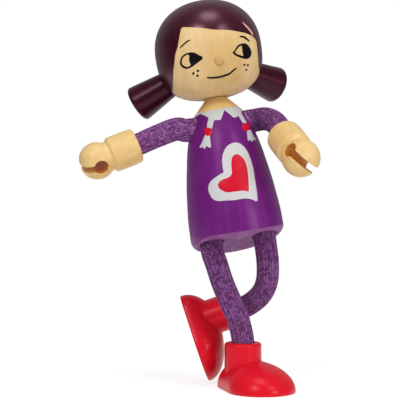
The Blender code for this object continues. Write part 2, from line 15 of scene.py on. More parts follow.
import bpy
import numpy as np
from mathutils import Matrix, Vector
from mathutils.bvhtree import BVHTree
from mathutils.geometry import delaunay_2d_cdt


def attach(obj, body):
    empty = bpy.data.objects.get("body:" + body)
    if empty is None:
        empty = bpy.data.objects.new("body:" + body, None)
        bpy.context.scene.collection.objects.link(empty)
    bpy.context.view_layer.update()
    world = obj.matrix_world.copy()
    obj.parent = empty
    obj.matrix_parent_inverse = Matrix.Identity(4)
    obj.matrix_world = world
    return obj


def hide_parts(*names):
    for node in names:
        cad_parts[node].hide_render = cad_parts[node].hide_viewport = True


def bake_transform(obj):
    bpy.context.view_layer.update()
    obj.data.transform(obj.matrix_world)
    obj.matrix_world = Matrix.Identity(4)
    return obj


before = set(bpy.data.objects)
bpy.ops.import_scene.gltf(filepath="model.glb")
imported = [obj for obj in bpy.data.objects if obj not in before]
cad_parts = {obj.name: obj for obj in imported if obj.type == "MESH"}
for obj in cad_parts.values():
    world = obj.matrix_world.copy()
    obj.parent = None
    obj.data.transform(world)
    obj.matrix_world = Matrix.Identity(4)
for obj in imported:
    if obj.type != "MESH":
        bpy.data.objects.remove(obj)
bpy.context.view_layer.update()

MM = 0.001
PHOTO_SIZE = 400.0             # pixels across
CLEARANCE = 0.3                # between pieces that touch, as in the frame
BENCH = "bench"                # each point's place before its piece was put in place
LOG = logging.getLogger("doll")

Pair = tuple[float, float]
Triple = tuple[float, float, float]
Colour = Triple
Profile = list[Pair]
Pixels = Sequence[Pair]


# Shader maths

class Signal:
    """A shader socket that takes part in sums."""

    def __init__(self, board: Board, socket: bpy.types.NodeSocket) -> None:
        """Wrap a socket of a board."""
        self.board = board
        self.socket = socket

    def __add__(self, other: Value) -> Signal:
        """The sum."""
        return self.board.maths("ADD", self, other)

    __radd__ = __add__

    def __sub__(self, other: Value) -> Signal:
        """The difference."""
        return self.board.maths("SUBTRACT", self, other)

    def __rsub__(self, other: Value) -> Signal:
        """The difference from a number."""
        return self.board.maths("SUBTRACT", other, self)

    def __mul__(self, other: Value) -> Signal:
        """The product."""
        return self.board.maths("MULTIPLY", self, other)

    __rmul__ = __mul__

    def __truediv__(self, other: Value) -> Signal:
        """The quotient."""
        return self.board.maths("DIVIDE", self, other)

    def __pow__(self, other: Value) -> Signal:
        """The power."""
        return self.board.maths("POWER", self, other)

    def __gt__(self, other: Value) -> Signal:
        """One where it is greater, else nought."""
        return self.board.maths("GREATER_THAN", self, other)

    def __lt__(self, other: Value) -> Signal:
        """One where it is less, else nought."""
        return self.board.maths("LESS_THAN", self, other)

    def fraction(self) -> Signal:
        """What is left after the whole part."""
        return self.board.maths("FRACT", self)

    def whole(self) -> Signal:
        """The whole part."""
        return self.board.maths("FLOOR", self)

    def sine(self) -> Signal:
        """The sine."""
        return self.board.maths("SINE", self)

    def clipped(self) -> Signal:
        """The value held between nought and one."""
        return self.board.maths("ADD", self, 0.0, clamp=True)

    def eased(self, low: float, high: float) -> Signal:
        """Nought below low, one above high, and a smooth step between.

        Args:
            low: Where the step starts.
            high: Where it ends.

        Returns:
            The stepped value.
        """
        inputs = {"Value": self, "From Min": low, "From Max": high}
        return self.board.signal("ShaderNodeMapRange", {"interpolation_type": "SMOOTHSTEP"}, inputs)


Value = Signal | float


class Board:
    """The node tree of a material or of the world."""

    def __init__(self, holder: bpy.types.Material | bpy.types.World) -> None:
        """Open the holder's tree.

        Args:
            holder: What has the tree.
        """
        self.holder = holder
        holder.use_nodes = True
        self.tree = holder.node_tree

    @classmethod
    def blank(cls, name: str) -> tuple[Board, Signal]:
        """Start a material, and give where its points were on the bench."""
        board = cls(bpy.data.materials.new(name))
        return board, board.place()

    def feed(self, socket: bpy.types.NodeSocket, value: object) -> None:
        """Link a signal to a socket, or set the socket to a plain value.

        Args:
            socket: The socket.
            value: The signal or value.
        """
        if isinstance(value, Signal):
            self.tree.links.new(value.socket, socket)
        else:
            socket.default_value = value

    def node(self, kind: str, settings: dict | None = None, inputs: dict | None = None) -> bpy.types.Node:
        """Add any node.

        Args:
            kind: The node's type.
            settings: Its properties, which are set first.
            inputs: Values or signals, by socket name or number.

        Returns:
            The node.
        """
        made = self.tree.nodes.new(kind)
        for name, value in (settings or {}).items():
            setattr(made, name, value)
        for name, value in (inputs or {}).items():
            self.feed(made.inputs[name], value)
        return made

    def signal(
        self, kind: str, settings: dict | None = None, inputs: dict | None = None, output: int | str = 0,
    ) -> Signal:
        """Add any node, and give one of its outputs."""
        return Signal(self, self.node(kind, settings, inputs).outputs[output])

    def maths(self, operation: str, *values: Value, clamp: bool = False) -> Signal:
        """Add a Math node on up to three values."""
        settings = {"operation": operation, "use_clamp": clamp}
        return self.signal("ShaderNodeMath", settings, dict(enumerate(values)))

    def mixed(self, share: Value, low: Colour | Signal, high: Colour | Signal) -> Signal:
        """Mix two colours by a share of the second.

        Args:
            share: How much of the second.
            low: The first colour.
            high: The second.

        Returns:
            The mixed colour.
        """
        ends = [end if isinstance(end, Signal) else (*end, 1.0) for end in (low, high)]
        settings = {"data_type": "RGBA", "clamp_factor": True}
        return self.signal("ShaderNodeMix", settings, {0: share, 6: ends[0], 7: ends[1]}, 2)

    def place(self) -> Signal:
        """Where a point was when its piece was on the bench, in millimetres."""
        return self.signal("ShaderNodeAttribute", {"attribute_name": BENCH}, output="Vector")

    def vector(self, x: Value, y: Value, z: Value) -> Signal:
        """A vector from its three parts."""
        return self.signal("ShaderNodeCombineXYZ", inputs={0: x, 1: y, 2: z})

    def chance(self, cell: Signal) -> Signal:
        """A fixed random number for each whole cell."""
        return self.signal("ShaderNodeTexWhiteNoise", inputs={"Vector": cell}, output="Value")

    def stretched(self, vector: Signal, scale: Triple, shift: Triple = (0.0, 0.0, 0.0)) -> Signal:
        """A vector scaled along its axes, then moved."""
        inputs = {0: vector, 1: scale, 2: shift}
        return self.signal("ShaderNodeVectorMath", {"operation": "MULTIPLY_ADD"}, inputs)

    def parts(self, vector: Signal) -> tuple[Signal, Signal, Signal]:
        """The three parts of a vector."""
        made = self.node("ShaderNodeSeparateXYZ", inputs={0: vector})
        return tuple(Signal(self, out) for out in made.outputs)

    def length(self, first: Signal, *others: Signal) -> Signal:
        """The length of a vector with these parts."""
        return sum((part * part for part in others), first * first) ** 0.5

    def noise(
        self, vector: Signal, scale: float, detail: float = 2.0, rough: float = 0.5, twist: float = 0.0,
    ) -> Signal:
        """Smooth noise from nought to one.

        Args:
            vector: Where it is looked up.
            scale: How fine it is.
            detail: How many finer layers it has.
            rough: How strong those are.
            twist: How far it is warped.

        Returns:
            The noise.
        """
        return self.signal("ShaderNodeTexNoise", inputs={
            "Vector": vector, "Scale": scale, "Detail": detail, "Roughness": rough, "Distortion": twist,
        })

    def streaks(
        self, vector: Signal, scale: Triple, detail: float = 2.0, rough: float = 0.5, twist: float = 0.0,
        shift: Triple = (0.0, 0.0, 0.0),
    ) -> Signal:
        """Noise with its own scale along each axis."""
        return self.noise(self.stretched(vector, scale, shift), 1.0, detail, rough, twist)

    def marked(self, name: str) -> Signal:
        """A mask that the mesh carries."""
        return self.signal("ShaderNodeAttribute", {"attribute_name": name}, output="Fac")

    def rays(self, *kinds: str) -> tuple[Signal, ...]:
        """Whether a ray is of each of these kinds, as one or nought."""
        paths = self.node("ShaderNodeLightPath").outputs
        return tuple(Signal(self, paths[f"Is {kind} Ray"]) for kind in kinds)

    def bumped(self, height: Signal, distance: float, strength: float = 1.0) -> Signal:
        """A surface raised by a height, in millimetres at a height of one."""
        inputs = {"Strength": strength, "Distance": distance * MM, "Height": height}
        return self.signal("ShaderNodeBump", inputs=inputs)

    def dress(self, **inputs: object) -> bpy.types.Material:
        """Set the shader's sockets.

        Args:
            inputs: Values or signals, by socket name with _ for a space.

        Returns:
            The material, which is done with that.
        """
        for name, value in inputs.items():
            if isinstance(value, tuple):
                value = (*value, 1.0)
            self.feed(self.tree.nodes["Principled BSDF"].inputs[name.replace("_", " ")], value)
        return self.holder


# Finishes

@dataclass(frozen=True)
class Maple:
    """Turned and sanded maple with a thin satin seal."""

    name: str
    pale: Colour = (0.88, 0.640, 0.290)
    tan: Colour = (0.76, 0.470, 0.168)
    ring_pitch: float = 2.1
    pith: Pair = (17.0, 9.0)
    ray: Colour = (0.50, 0.27, 0.09)
    cloudy: float = 0.38
    amber_spot: Triple | None = None
    amber_reach: float = 9.0
    amber: Colour = (0.66, 0.415, 0.150)
    # The darker brown that drilled faces take: painted shade in the bores, with torn end grain mixed in.
    shades_bores: bool = False
    bore_shade: Colour = (0.60, 0.185, 0.016)
    torn: Colour = (0.86, 0.42, 0.085)
    gloss: float = 0.20
    roughness: float = 0.40

    def make(self) -> bpy.types.Material:
        """Build growth rings across the axis, fibre along it, and short rays.

        Returns:
            The material.
        """
        board, spot = Board.blank(self.name)
        x, y, _ = board.parts(spot)
        sway = board.streaks(spot, (0.14, 0.14, 0.035))
        across = board.length(x - self.pith[0], y + self.pith[1])
        ring = (across / self.ring_pitch + sway * 2.2).fraction()
        fibre = board.streaks(spot, (4.6, 4.6, 0.30), 4.0, 0.62)
        cloud = board.streaks(spot, (0.30, 0.30, 0.10))
        ray = board.streaks(spot, (7.5, 7.5, 1.3), 1.0, shift=(3.0, 8.0, 1.0)).eased(0.64, 0.74)
        tone = ring ** 3.0 * 0.22 + fibre.eased(0.30, 0.75) * 0.30 + cloud.eased(0.35, 0.70) * self.cloudy
        colour = board.mixed(tone, self.pale, self.tan)
        if self.amber_spot:
            shift = tuple(-part for part in self.amber_spot)
            away = board.length(*board.parts(board.stretched(spot, (1.0, 1.0, 0.8), shift)))
            warm = 1.0 - (away + sway * 6.0 - 3.0).eased(0.25 * self.amber_reach, self.amber_reach)
            colour = board.mixed(warm * (0.40 + cloud * 0.75), colour, self.amber)
        colour = board.mixed(ray * 0.14, colour, self.ray)
        # Drilled faces darken to brown: painted shade inside the holes, broken by torn end grain.
        if self.shades_bores:
            torn = board.streaks(spot, (2.8, 2.8, 1.2), 4.0, 0.75).eased(0.42, 0.60)
            colour = board.mixed(board.marked("drilled"), colour, board.mixed(torn, self.bore_shade, self.torn))
        return board.dress(
            Base_Color=colour, Roughness=self.roughness + fibre * 0.20, Coat_Weight=0.03, Coat_Roughness=0.22,
            Normal=board.bumped(fibre * 0.7 + ring * 0.3, 0.012, 0.6), Specular_IOR_Level=self.gloss,
        )


@dataclass(frozen=True)
class Lacquer:
    """Brushed and levelled lacquer over wood grain."""

    name: str
    colour: Colour
    worn: Colour
    roughness: float
    gloss: float
    relief: float = 0.010
    tint: Colour = (1.0, 0.60, 0.72)
    # The dark brown that a drilled bore takes: painted shade inside it.
    shades_bores: bool = False
    bore_shade: Colour = (0.30, 0.055, 0.018)

    def make(self) -> bpy.types.Material:
        """Build slow bands of thicker and thinner paint over grain, brushed, with some peel.

        Returns:
            The material.
        """
        board, spot = Board.blank(self.name)
        band = board.streaks(spot, (0.55, 0.55, 0.05), 3.0, 0.6)
        fibre = board.streaks(spot, (3.4, 3.4, 0.16), 4.0, 0.6)
        peel = board.noise(spot, 0.9)
        brushed = board.streaks(spot, (2.6, 2.6, 1.1), 3.0, 0.65)
        share = band.eased(0.42, 0.78) * 0.50 + fibre.eased(0.50, 0.85) * 0.25
        share = share + brushed.eased(0.50, 0.72) * 0.30
        colour = board.mixed(share, self.colour, self.worn)
        # The drilled bore darkens: painted shade inside it.
        if self.shades_bores:
            colour = board.mixed(board.marked("drilled"), colour, self.bore_shade)
        height = fibre * 0.55 + peel * 0.9 + brushed * 0.5
        return board.dress(
            Base_Color=colour, Roughness=self.roughness + band * 0.05 + fibre * 0.04,
            Normal=board.bumped(height, self.relief, 0.7), Specular_IOR_Level=self.gloss,
            Specular_Tint=self.tint, Coat_Weight=0.03, Coat_Roughness=0.10,
        )


@dataclass(frozen=True)
class ThinWash:
    """The same paint laid thin over sawn wood, with the brush marks left in."""

    name: str
    paint: Colour = (0.190, 0.045, 0.220)
    bare: Colour = (0.480, 0.190, 0.480)

    def make(self) -> bpy.types.Material:
        """Build saw lines across, and brush streaks over them.

        Returns:
            The material.
        """
        board, spot = Board.blank(self.name)
        x, y, _ = board.parts(spot)
        saw = ((x * 0.42 + y * 0.91) * 1.15 + board.noise(spot, 0.5) * 1.6).fraction()
        streak = board.streaks(spot, (0.40, 2.6, 1.0), 4.0, 0.70, 0.4)
        blotch = board.noise(spot, 0.22, 3.0)
        share = streak.eased(0.42, 0.62) * 0.75 + saw * 0.32 + blotch.eased(0.45, 0.65) * 0.20 - 0.06
        return board.dress(
            Base_Color=board.mixed(share, self.paint, self.bare), Roughness=0.46 + streak * 0.18,
            Normal=board.bumped(streak + saw * 0.5, 0.05, 0.8), Specular_IOR_Level=0.15,
        )


@dataclass(frozen=True)
class Enamel:
    """Printed or brushed enamel of a painted detail."""

    name: str
    colour: Colour
    shade: Colour
    roughness: float = 0.34

    def make(self) -> bpy.types.Material:
        """Build nearly even paint with a faint mottle and brush relief.

        Returns:
            The material.
        """
        board, spot = Board.blank(self.name)
        mottle = board.noise(spot, 0.8, 3.0, 0.6)
        brush = board.streaks(spot, (5.0, 5.0, 0.7), 3.0)
        return board.dress(
            Base_Color=board.mixed(mottle.eased(0.45, 0.8) * 0.5, self.colour, self.shade),
            Roughness=self.roughness + mottle * 0.08, Normal=board.bumped(brush, 0.006, 0.5),
            Specular_IOR_Level=0.14, Coat_Weight=0.05, Coat_Roughness=0.2,
        )


@dataclass(frozen=True)
class Braid:
    """Dyed cotton braid: columns of slanting strands that meet in V shapes."""

    name: str
    # the light thread colour, shown only on strand crowns: partly painted highlight
    light: Colour
    blue: Colour
    middle: Colour
    # the colour of the gaps between strands: painted shade
    gap: Colour = (0.032, 0.005, 0.036)
    blue_share: float = 0.26

    def make(self) -> bpy.types.Material:
        """Build strands from the round-and-along map that each length carries, with painted shade in the gaps
        between strands and painted highlight on their crowns.

        Returns:
            The material.
        """
        board, spot = Board.blank(self.name)
        chart = board.signal("ShaderNodeUVMap", {"uv_map": Cord.CHART})
        around, along, _ = board.parts(chart)
        column = around * Cord.COLUMNS
        left = (column * 0.5).fraction() < 0.5
        tone = board.noise(spot, 0.8, 3.0, 0.7)
        steps = along / Cord.PITCH + column * Cord.RISE * (left * 2.0 - 1.0) + tone * 0.45
        crown = (steps.fraction() * math.pi).sine()
        across = (column.fraction() * math.pi).sine()
        stitch = board.chance(board.vector(column.whole(), steps.whole(), left))
        blue = board.chance(board.vector(steps.whole(), left, column.whole())) > 1.0 - self.blue_share
        hair = board.noise(spot, 16.0, 3.0, 0.7)
        body = crown ** 0.9 * across ** 0.22
        shade = body.eased(0.06, 0.78) * (0.54 + stitch * 0.66) * (0.88 + tone * 0.26)
        # Darker toward the gaps between strands: painted shade.
        colour = board.mixed(shade.clipped(), self.gap, self.middle)
        thread = board.mixed(blue, self.light, self.blue)
        # Strand crowns take a thread colour, light or blue by chance: the blue is dye, and the lighter crowns
        # are partly painted highlight.
        colour = board.mixed(((shade - 0.56) * 1.7 + hair * 0.20).clipped(), colour, thread)
        return board.dress(
            Base_Color=colour, Roughness=0.85, Normal=board.bumped(body + hair * 0.35, 0.10, 0.8),
            Specular_IOR_Level=0.20, Sheen_Weight=0.25, Sheen_Roughness=0.5, Sheen_Tint=(0.75, 0.50, 0.85),
        )


@dataclass(frozen=True)
class SoftWire:
    """Annealed steel wire."""

    name: str = "annealed_wire"

    def make(self) -> bpy.types.Material:
        """Build drawn scratches along the wire, and a dull bloom.

        Returns:
            The material.
        """
        board, spot = Board.blank(self.name)
        bloom = board.noise(spot, 1.6, 3.0)
        drawn = board.streaks(spot, (9.0, 9.0, 0.8))
        return board.dress(
            Base_Color=board.mixed(bloom, (0.50, 0.50, 0.52), (0.33, 0.32, 0.33)), Metallic=1.0,
            Roughness=0.28 + bloom * 0.22, Normal=board.bumped(drawn, 0.006),
        )


class Finish(Enum):
    """Each finish of the doll, by what it is on."""

    MAPLE = Maple("maple_of_head", (0.84, 0.615, 0.335), amber_spot=(1.0, -14.0, -3.6))
    HAND_MAPLE = Maple(
        "maple_of_hand", (0.87, 0.625, 0.270), ring_pitch=1.8, pith=(9.0, 6.0), shades_bores=True, cloudy=0.60,
        gloss=0.48, roughness=0.27,
    )
    NECK_MAPLE = Maple("maple_of_neck", (0.83, 0.575, 0.235), (0.70, 0.42, 0.14))
    PEG = Maple("maple_of_peg", tan=(0.60, 0.38, 0.17), ring_pitch=1.2, pith=(4.0, 3.0))
    # A darker copy of the face's maple, with fine dark rings round the peg's axis: partly end grain, partly
    # painted shade round its rim and groove.
    NOSE = Maple("maple_of_nose", (0.70, 0.445, 0.19), (0.36, 0.185, 0.06), ring_pitch=0.5, pith=(0.12, 0.1))
    # Dark brown for the faces inside the body's bores: painted shade.
    BORE = Maple("bored_wood", (0.40, 0.16, 0.06), (0.26, 0.09, 0.03))
    HAIR = Lacquer(
        "lacquer_on_hair", (0.036, 0.0020, 0.0085), (0.060, 0.0035, 0.013), 0.27, 0.85, 0.024,
        (1.0, 0.50, 0.66),
    )
    TAIL = Lacquer("lacquer_on_pigtail", (0.036, 0.0020, 0.0085), (0.070, 0.0045, 0.014), 0.24, 0.34)
    DRESS = Lacquer(
        "lacquer_on_dress", (0.138, 0.0085, 0.163), (0.198, 0.018, 0.216), 0.34, 0.36, 0.026,
        (0.98, 0.52, 1.0),
    )
    SHOE = Lacquer(
        "lacquer_on_shoe", (0.705, 0.0060, 0.020), (0.79, 0.011, 0.028), 0.24, 0.26, tint=(1.0, 0.55, 0.60),
        shades_bores=True,
    )
    UNDER = ThinWash("dress_underside_wash")
    BLACK = Enamel("black_enamel", (0.0065, 0.0050, 0.0060), (0.012, 0.009, 0.010), 0.26)
    WHITE = Enamel("white_enamel", (0.620, 0.612, 0.625), (0.56, 0.55, 0.57))
    RED = Enamel("red_enamel", (0.625, 0.0065, 0.027), (0.69, 0.018, 0.040), 0.30)
    PINK = Enamel("pink_enamel", (0.86, 0.40, 0.37), (0.80, 0.31, 0.29))
    # One cord in two copies: the arms' braid is painted lighter, as painted light from the top lamps, and the
    # legs' braid darker, as painted shade.
    ARM_BRAID_PAINTED_LIT = Braid("braided_cotton_painted_lit_for_arms", (0.57, 0.20, 0.57), (0.38, 0.17, 0.54), (0.215, 0.048, 0.222))
    LEG_BRAID_PAINTED_SHADED = Braid(
        "braided_cotton_painted_shaded_for_legs", (0.385, 0.128, 0.385), (0.265, 0.117, 0.39), (0.152, 0.033, 0.157),
    )
    WIRE = SoftWire()

    @cache
    def material(self) -> bpy.types.Material:
        """The finish's material, made the first time it is asked for."""
        return self.value.make()


# Lines

def part_way(place: float, start: float, end: float, first: np.ndarray, second: np.ndarray) -> np.ndarray:
    """Mix two points by where a place lies between a start and an end."""
    return (end - place) / (end - start) * first + (place - start) / (end - start) * second


def smooth_line(points: Sequence[Sequence[float]], step: float, samples: int = 24) -> np.ndarray:
    """Run a centripetal curve through points.

    Args:
        points: Two or more points, of any dimension.
        step: The spacing of what comes back.
        samples: How finely each span is worked out first.

    Returns:
        Evenly spaced points along the curve, both ends included.
    """
    ring = [np.array(p, dtype=float) for p in points]
    ring = [2 * ring[0] - ring[1]] + ring + [2 * ring[-1] - ring[-2]]
    knots = np.cumsum([0.0] + [math.sqrt(np.linalg.norm(b - a)) for a, b in zip(ring, ring[1:])])
    line = []
    for i in range(1, len(ring) - 2):
        p, t = ring[i - 1:i + 3], knots[i - 1:i + 3]
        for j in range(samples):
            here = t[1] + (t[2] - t[1]) * j / samples
            a = [part_way(here, t[k], t[k + 1], p[k], p[k + 1]) for k in range(3)]
            b = [part_way(here, t[k], t[k + 2], a[k], a[k + 1]) for k in range(2)]
            line.append(part_way(here, t[1], t[2], *b))
    line.append(ring[-2])
    return spaced(np.array(line), step)


def run_along(line: np.ndarray) -> np.ndarray:
    """How far along a line each of its points is."""
    return np.concatenate([[0.0], np.cumsum(np.linalg.norm(np.diff(line, axis=0), axis=1))])


def spaced(line: np.ndarray, step: float) -> np.ndarray:
    """Space the points of a line evenly, about a step apart.

    Args:
        line: The line's points.
        step: How far apart they should be.

    Returns:
        The new points.
    """
    run = run_along(line)
    count = max(2, math.ceil(run[-1] / step) + 1)
    stops = np.linspace(0.0, run[-1], count)
    return np.stack([np.interp(stops, run, line[:, k]) for k in range(line.shape[1])], axis=1)


def linked(runs: Sequence[Pixels], step: float) -> np.ndarray:
    """Smooth runs that meet at corners, as one line that stops a step short of the last corner."""
    return np.concatenate([smooth_line(run, step)[:-1] for run in runs])


def stroke_loop(points: Pixels, widths: Sequence[float], step: float) -> np.ndarray:
    """Outline a brush stroke with round ends.

    Args:
        points: The stroke's middle line.
        widths: Its full width at each point.
        step: The spacing of the outline's points.

    Returns:
        The outline, as one closed loop.
    """
    line = smooth_line([(*p, w) for p, w in zip(points, widths)], step)
    middle, half = line[:, :2], line[:, 2:] / 2
    ahead = np.gradient(middle, axis=0)
    ahead /= np.linalg.norm(ahead, axis=1)[:, None]
    side = np.stack([-ahead[:, 1], ahead[:, 0]], axis=1)
    angles = np.linspace(0.0, math.pi, 7)[1:-1, None]
    caps = [
        middle[end] + half[end] * turn * (side[end] * np.cos(angles) + ahead[end] * np.sin(angles))
        for end, turn in ((-1, 1.0), (0, -1.0))
    ]
    return np.concatenate([middle + side * half, caps[0], (middle - side * half)[::-1], caps[1]])


def dot_loop(middle: Pair, wide: float, tall: float, count: int) -> np.ndarray:
    """Outline a round or oval dot."""
    turns = np.arange(count) * math.tau / count
    return np.stack([middle[0] + wide * np.cos(turns), middle[1] + tall * np.sin(turns)], axis=1)


def arc(centre: Pair, radius: float, start: float, end: float, count: int) -> Profile:
    """Points of an arc in the (radius, height) plane, angles in degrees."""
    angles = [math.radians(start + (end - start) * i / count) for i in range(count + 1)]
    return [(centre[0] + radius * math.cos(a), centre[1] + radius * math.sin(a)) for a in angles]


# Places, from the part's own sizes

def placed(origin: Sequence[float], x_axis: Vector, y_axis: Vector, z_axis: Vector) -> Matrix:
    """A placement in millimetres from an origin and unit axes.

    Args:
        origin: The place's origin.
        x_axis: Its X.
        y_axis: Its Y.
        z_axis: Its Z.

    Returns:
        The placement.
    """
    place = Matrix((x_axis, y_axis, z_axis)).transposed().to_4x4()
    place.translation = Vector(origin)
    return place


def reaching(origin: Sequence[float], reach: Vector, across: Vector) -> Matrix:
    """A placement whose Z runs along reach, with Y as near to across as it can be.

    Args:
        origin: The place's origin.
        reach: Where Z goes.
        across: Where Y goes, as near as it can.

    Returns:
        The placement.
    """
    z_axis = reach.normalized()
    y_axis = (across - z_axis * across.dot(z_axis)).normalized()
    return placed(origin, y_axis.cross(z_axis), y_axis, z_axis)


@dataclass(frozen=True)
class Stance:
    """How the doll stands."""

    hem: Triple = (-1.36, 0.0, 41.6)
    roll: float = math.radians(9.0)
    lean: float = math.radians(1.0)
    turn: float = math.radians(9.0)
    head_turn: float = math.radians(2.0)
    head_height: float = 53.0
    standing_turn: float = math.radians(51.0)
    raised_tilt: float = math.radians(71.0)
    raised_sole: Triple = (-14.95, 12.5, 16.65)

    def body(self) -> Matrix:
        """Place the body: from the middle of its hem, facing -Y.

        Returns:
            The place.
        """
        up = Vector((-math.sin(self.roll), math.sin(self.lean), math.cos(self.roll))).normalized()
        side = Vector((up.z, 0.0, -up.x)).normalized()
        x_axis = side * math.cos(self.turn) + up.cross(side) * math.sin(self.turn)
        return placed(self.hem, x_axis, up.cross(x_axis), up)

    def head(self) -> Matrix:
        """The head's place, from the middle of its equator."""
        turn = Matrix.Rotation(self.head_turn, 4, "Z")
        return self.body() @ Matrix.Translation((0, 0, self.head_height)) @ turn

    def standing_shoe(self) -> Matrix:
        """Place the standing shoe, toe along X.

        Returns:
            The place.
        """
        toe = Vector((math.cos(self.standing_turn), -math.sin(self.standing_turn), 0.0))
        up = Vector((0.0, 0.0, 1.0))
        return placed((0.0, 0.0, 0.0), toe, up.cross(toe), up)

    def raised_shoe(self) -> Matrix:
        """Place the raised shoe, toe along X.

        Returns:
            The place.
        """
        toe = Vector((math.cos(self.raised_tilt), 0.0, -math.sin(self.raised_tilt)))
        up = Vector((math.sin(self.raised_tilt), 0.0, math.cos(self.raised_tilt)))
        return placed(self.raised_sole, toe, up.cross(toe), up)


STANCE = Stance()


# Bench work: meshes cut, sanded and handed over

class Workpiece:
    """A mesh being worked, in millimetres, in its own place."""

    def __init__(self, name: str, points: Sequence, faces: Sequence, place: Matrix) -> None:
        """Take up a closed mesh.

        Args:
            name: The piece's name.
            points: Its points, in its own place.
            faces: Its faces, as point numbers.
            place: Where it goes, in millimetres.
        """
        mesh = bpy.data.meshes.new(name)
        mesh.from_pydata([tuple(p) for p in points], [], [tuple(f) for f in faces])
        mesh.validate()
        self.thing = bpy.data.objects.new(name, mesh)
        bpy.context.scene.collection.objects.link(self.thing)
        self.place = place

    @classmethod
    def turned(cls, name: str, profile: Profile, steps: int, place: Matrix) -> Workpiece:
        """Turn a closed profile that starts and ends on the axis."""
        points, faces = revolved(profile, steps)
        return cls(name, points, faces, place)

    def apply(self, kind: str, **settings: object) -> None:
        """Add one modifier and make it real.

        Args:
            kind: The modifier's type.
            settings: Its settings.
        """
        modifier = self.thing.modifiers.new(kind, kind)
        for name, value in settings.items():
            setattr(modifier, name, value)
        seen = self.thing.evaluated_get(bpy.context.evaluated_depsgraph_get())
        mesh = bpy.data.meshes.new_from_object(seen)
        self.thing.modifiers.clear()
        old = self.thing.data
        self.thing.data = mesh
        bpy.data.meshes.remove(old)

    def joined(self, other: Workpiece, operation: str = "DIFFERENCE") -> None:
        """Cut another piece out of this one, or add it, and use it up.

        Args:
            other: The other piece.
            operation: What to do with it.
        """
        other.thing.data.transform(self.place.inverted() @ other.place)
        self.apply("BOOLEAN", operation=operation, object=other.thing, solver="EXACT")
        mesh = other.thing.data
        bpy.data.objects.remove(other.thing)
        bpy.data.meshes.remove(mesh)

    def bore(self, place: Matrix, radius: float, start: float, end: float, flare: Profile = ()) -> None:
        """Drill a round hole along a place's Z, with an optional flared mouth at the far end."""
        profile = [(0.0, start), (radius, start)] + (list(flare) or [(radius, end)]) + [(0.0, end)]
        self.joined(Workpiece.turned("drill", profile, 64, place))

    def sand(self, grit: float, passes: int) -> None:
        """Re-mesh evenly at a grain size and soften the edges."""
        self.apply("REMESH", mode="VOXEL", voxel_size=grit, use_smooth_shade=True)
        self.apply("SMOOTH", factor=0.5, iterations=passes)

    def mark(self, name: str, test: Callable[[np.ndarray], np.ndarray]) -> None:
        """Store a mask that is one where a test on the points holds."""
        mask = self.thing.data.attributes.new(name, "FLOAT", "POINT")
        mask.data.foreach_set("value", test(self.points()).astype(np.float32))

    def hand_over(
        self, finishes: Sequence[Finish | PaleCard], pick: Callable | None = None, crease: float = 35.0,
    ) -> bpy.types.Object:
        """Finish the piece and put it in its place, in metres.

        Args:
            finishes: Its finishes, the main one first.
            pick: Gives each face's finish number from the faces' middles and normals.
            crease: Edges sharper than this stay sharp, in degrees.

        Returns:
            The object.
        """
        mesh = self.thing.data
        mesh.materials.clear()
        for finish in finishes:
            mesh.materials.append(finish.material() if isinstance(finish, Finish) else finish.make())
        if pick:
            chosen = pick(*(self.read(mesh.polygons, part) for part in ("center", "normal")))
            mesh.polygons.foreach_set("material_index", chosen.astype(np.int32))
        bench = mesh.attributes.new(BENCH, "FLOAT_VECTOR", "POINT")
        bench.data.foreach_set("vector", self.points().ravel())
        mesh.transform(Matrix.Diagonal((MM, MM, MM, 1.0)) @ self.place)
        mesh.shade_smooth()
        mesh.set_sharp_from_angle(angle=math.radians(crease))
        return self.thing

    def points(self) -> np.ndarray:
        """The piece's points on the bench."""
        return self.read(self.thing.data.vertices, "co")

    @staticmethod
    def read(items: bpy.types.bpy_prop_collection, part: str) -> np.ndarray:
        """Read one vector from each of a mesh's points or faces.

        Args:
            items: The points or faces.
            part: The vector's name.

        Returns:
            The vectors, one in a row.
        """
        found = np.zeros(len(items) * 3, np.float32)
        items.foreach_get(part, found)
        return found.reshape(-1, 3)


def lofted(start: Sequence[float], rings: Sequence[Sequence], end: Sequence[float]) -> tuple[list, list]:
    """Close a skin over rings of points, from a point at one end to a point at the other.

    Args:
        start: The point that closes the first ring.
        rings: Rings of as many points each, anticlockwise as seen from the end.
        end: The point that closes the last ring.

    Returns:
        The points and the outward faces.
    """
    size = len(rings[0])
    points = [start, *(point for ring in rings for point in ring), end]
    numbers = [range(1 + size * i, 1 + size * (i + 1)) for i in range(len(rings))]
    faces = [(0, numbers[0][k], numbers[0][k - 1]) for k in range(size)]
    for low, high in zip(numbers, numbers[1:]):
        faces += [(low[k - 1], low[k], high[k], high[k - 1]) for k in range(size)]
    faces += [(len(points) - 1, numbers[-1][k - 1], numbers[-1][k]) for k in range(size)]
    return points, faces


def around(radius: float, turn: float, height: float) -> Triple:
    """A point round Z, at an angle that counts from -Y towards +X."""
    return (radius * math.sin(turn), -radius * math.cos(turn), height)


def revolved(profile: Profile, steps: int) -> tuple[list, list]:
    """Turn a profile of (radius, height) points about Z.

    Args:
        profile: Points that start and end on the axis.
        steps: Faces round the axis.

    Returns:
        The points and the outward faces.
    """
    turns = np.linspace(0.0, math.tau, steps, endpoint=False)
    rings = [[around(radius, turn, height) for turn in turns] for radius, height in profile[1:-1]]
    points, faces = lofted((0.0, 0.0, profile[0][1]), rings, (0.0, 0.0, profile[-1][1]))
    if profile[0][1] > profile[-1][1]:
        faces = [tuple(reversed(face)) for face in faces]
    return points, faces


def settle(piece: bpy.types.Object, body: str, slot: str, *nodes: str) -> None:
    """Put a finished piece on its body, hiding the nodes that it stands for.

    Args:
        piece: The piece.
        body: The body that it moves with.
        slot: Not used.
        nodes: The nodes that it stands for, if any.
    """
    if nodes:
        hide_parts(*nodes)
    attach(piece, body)


# Marking out on a turned surface

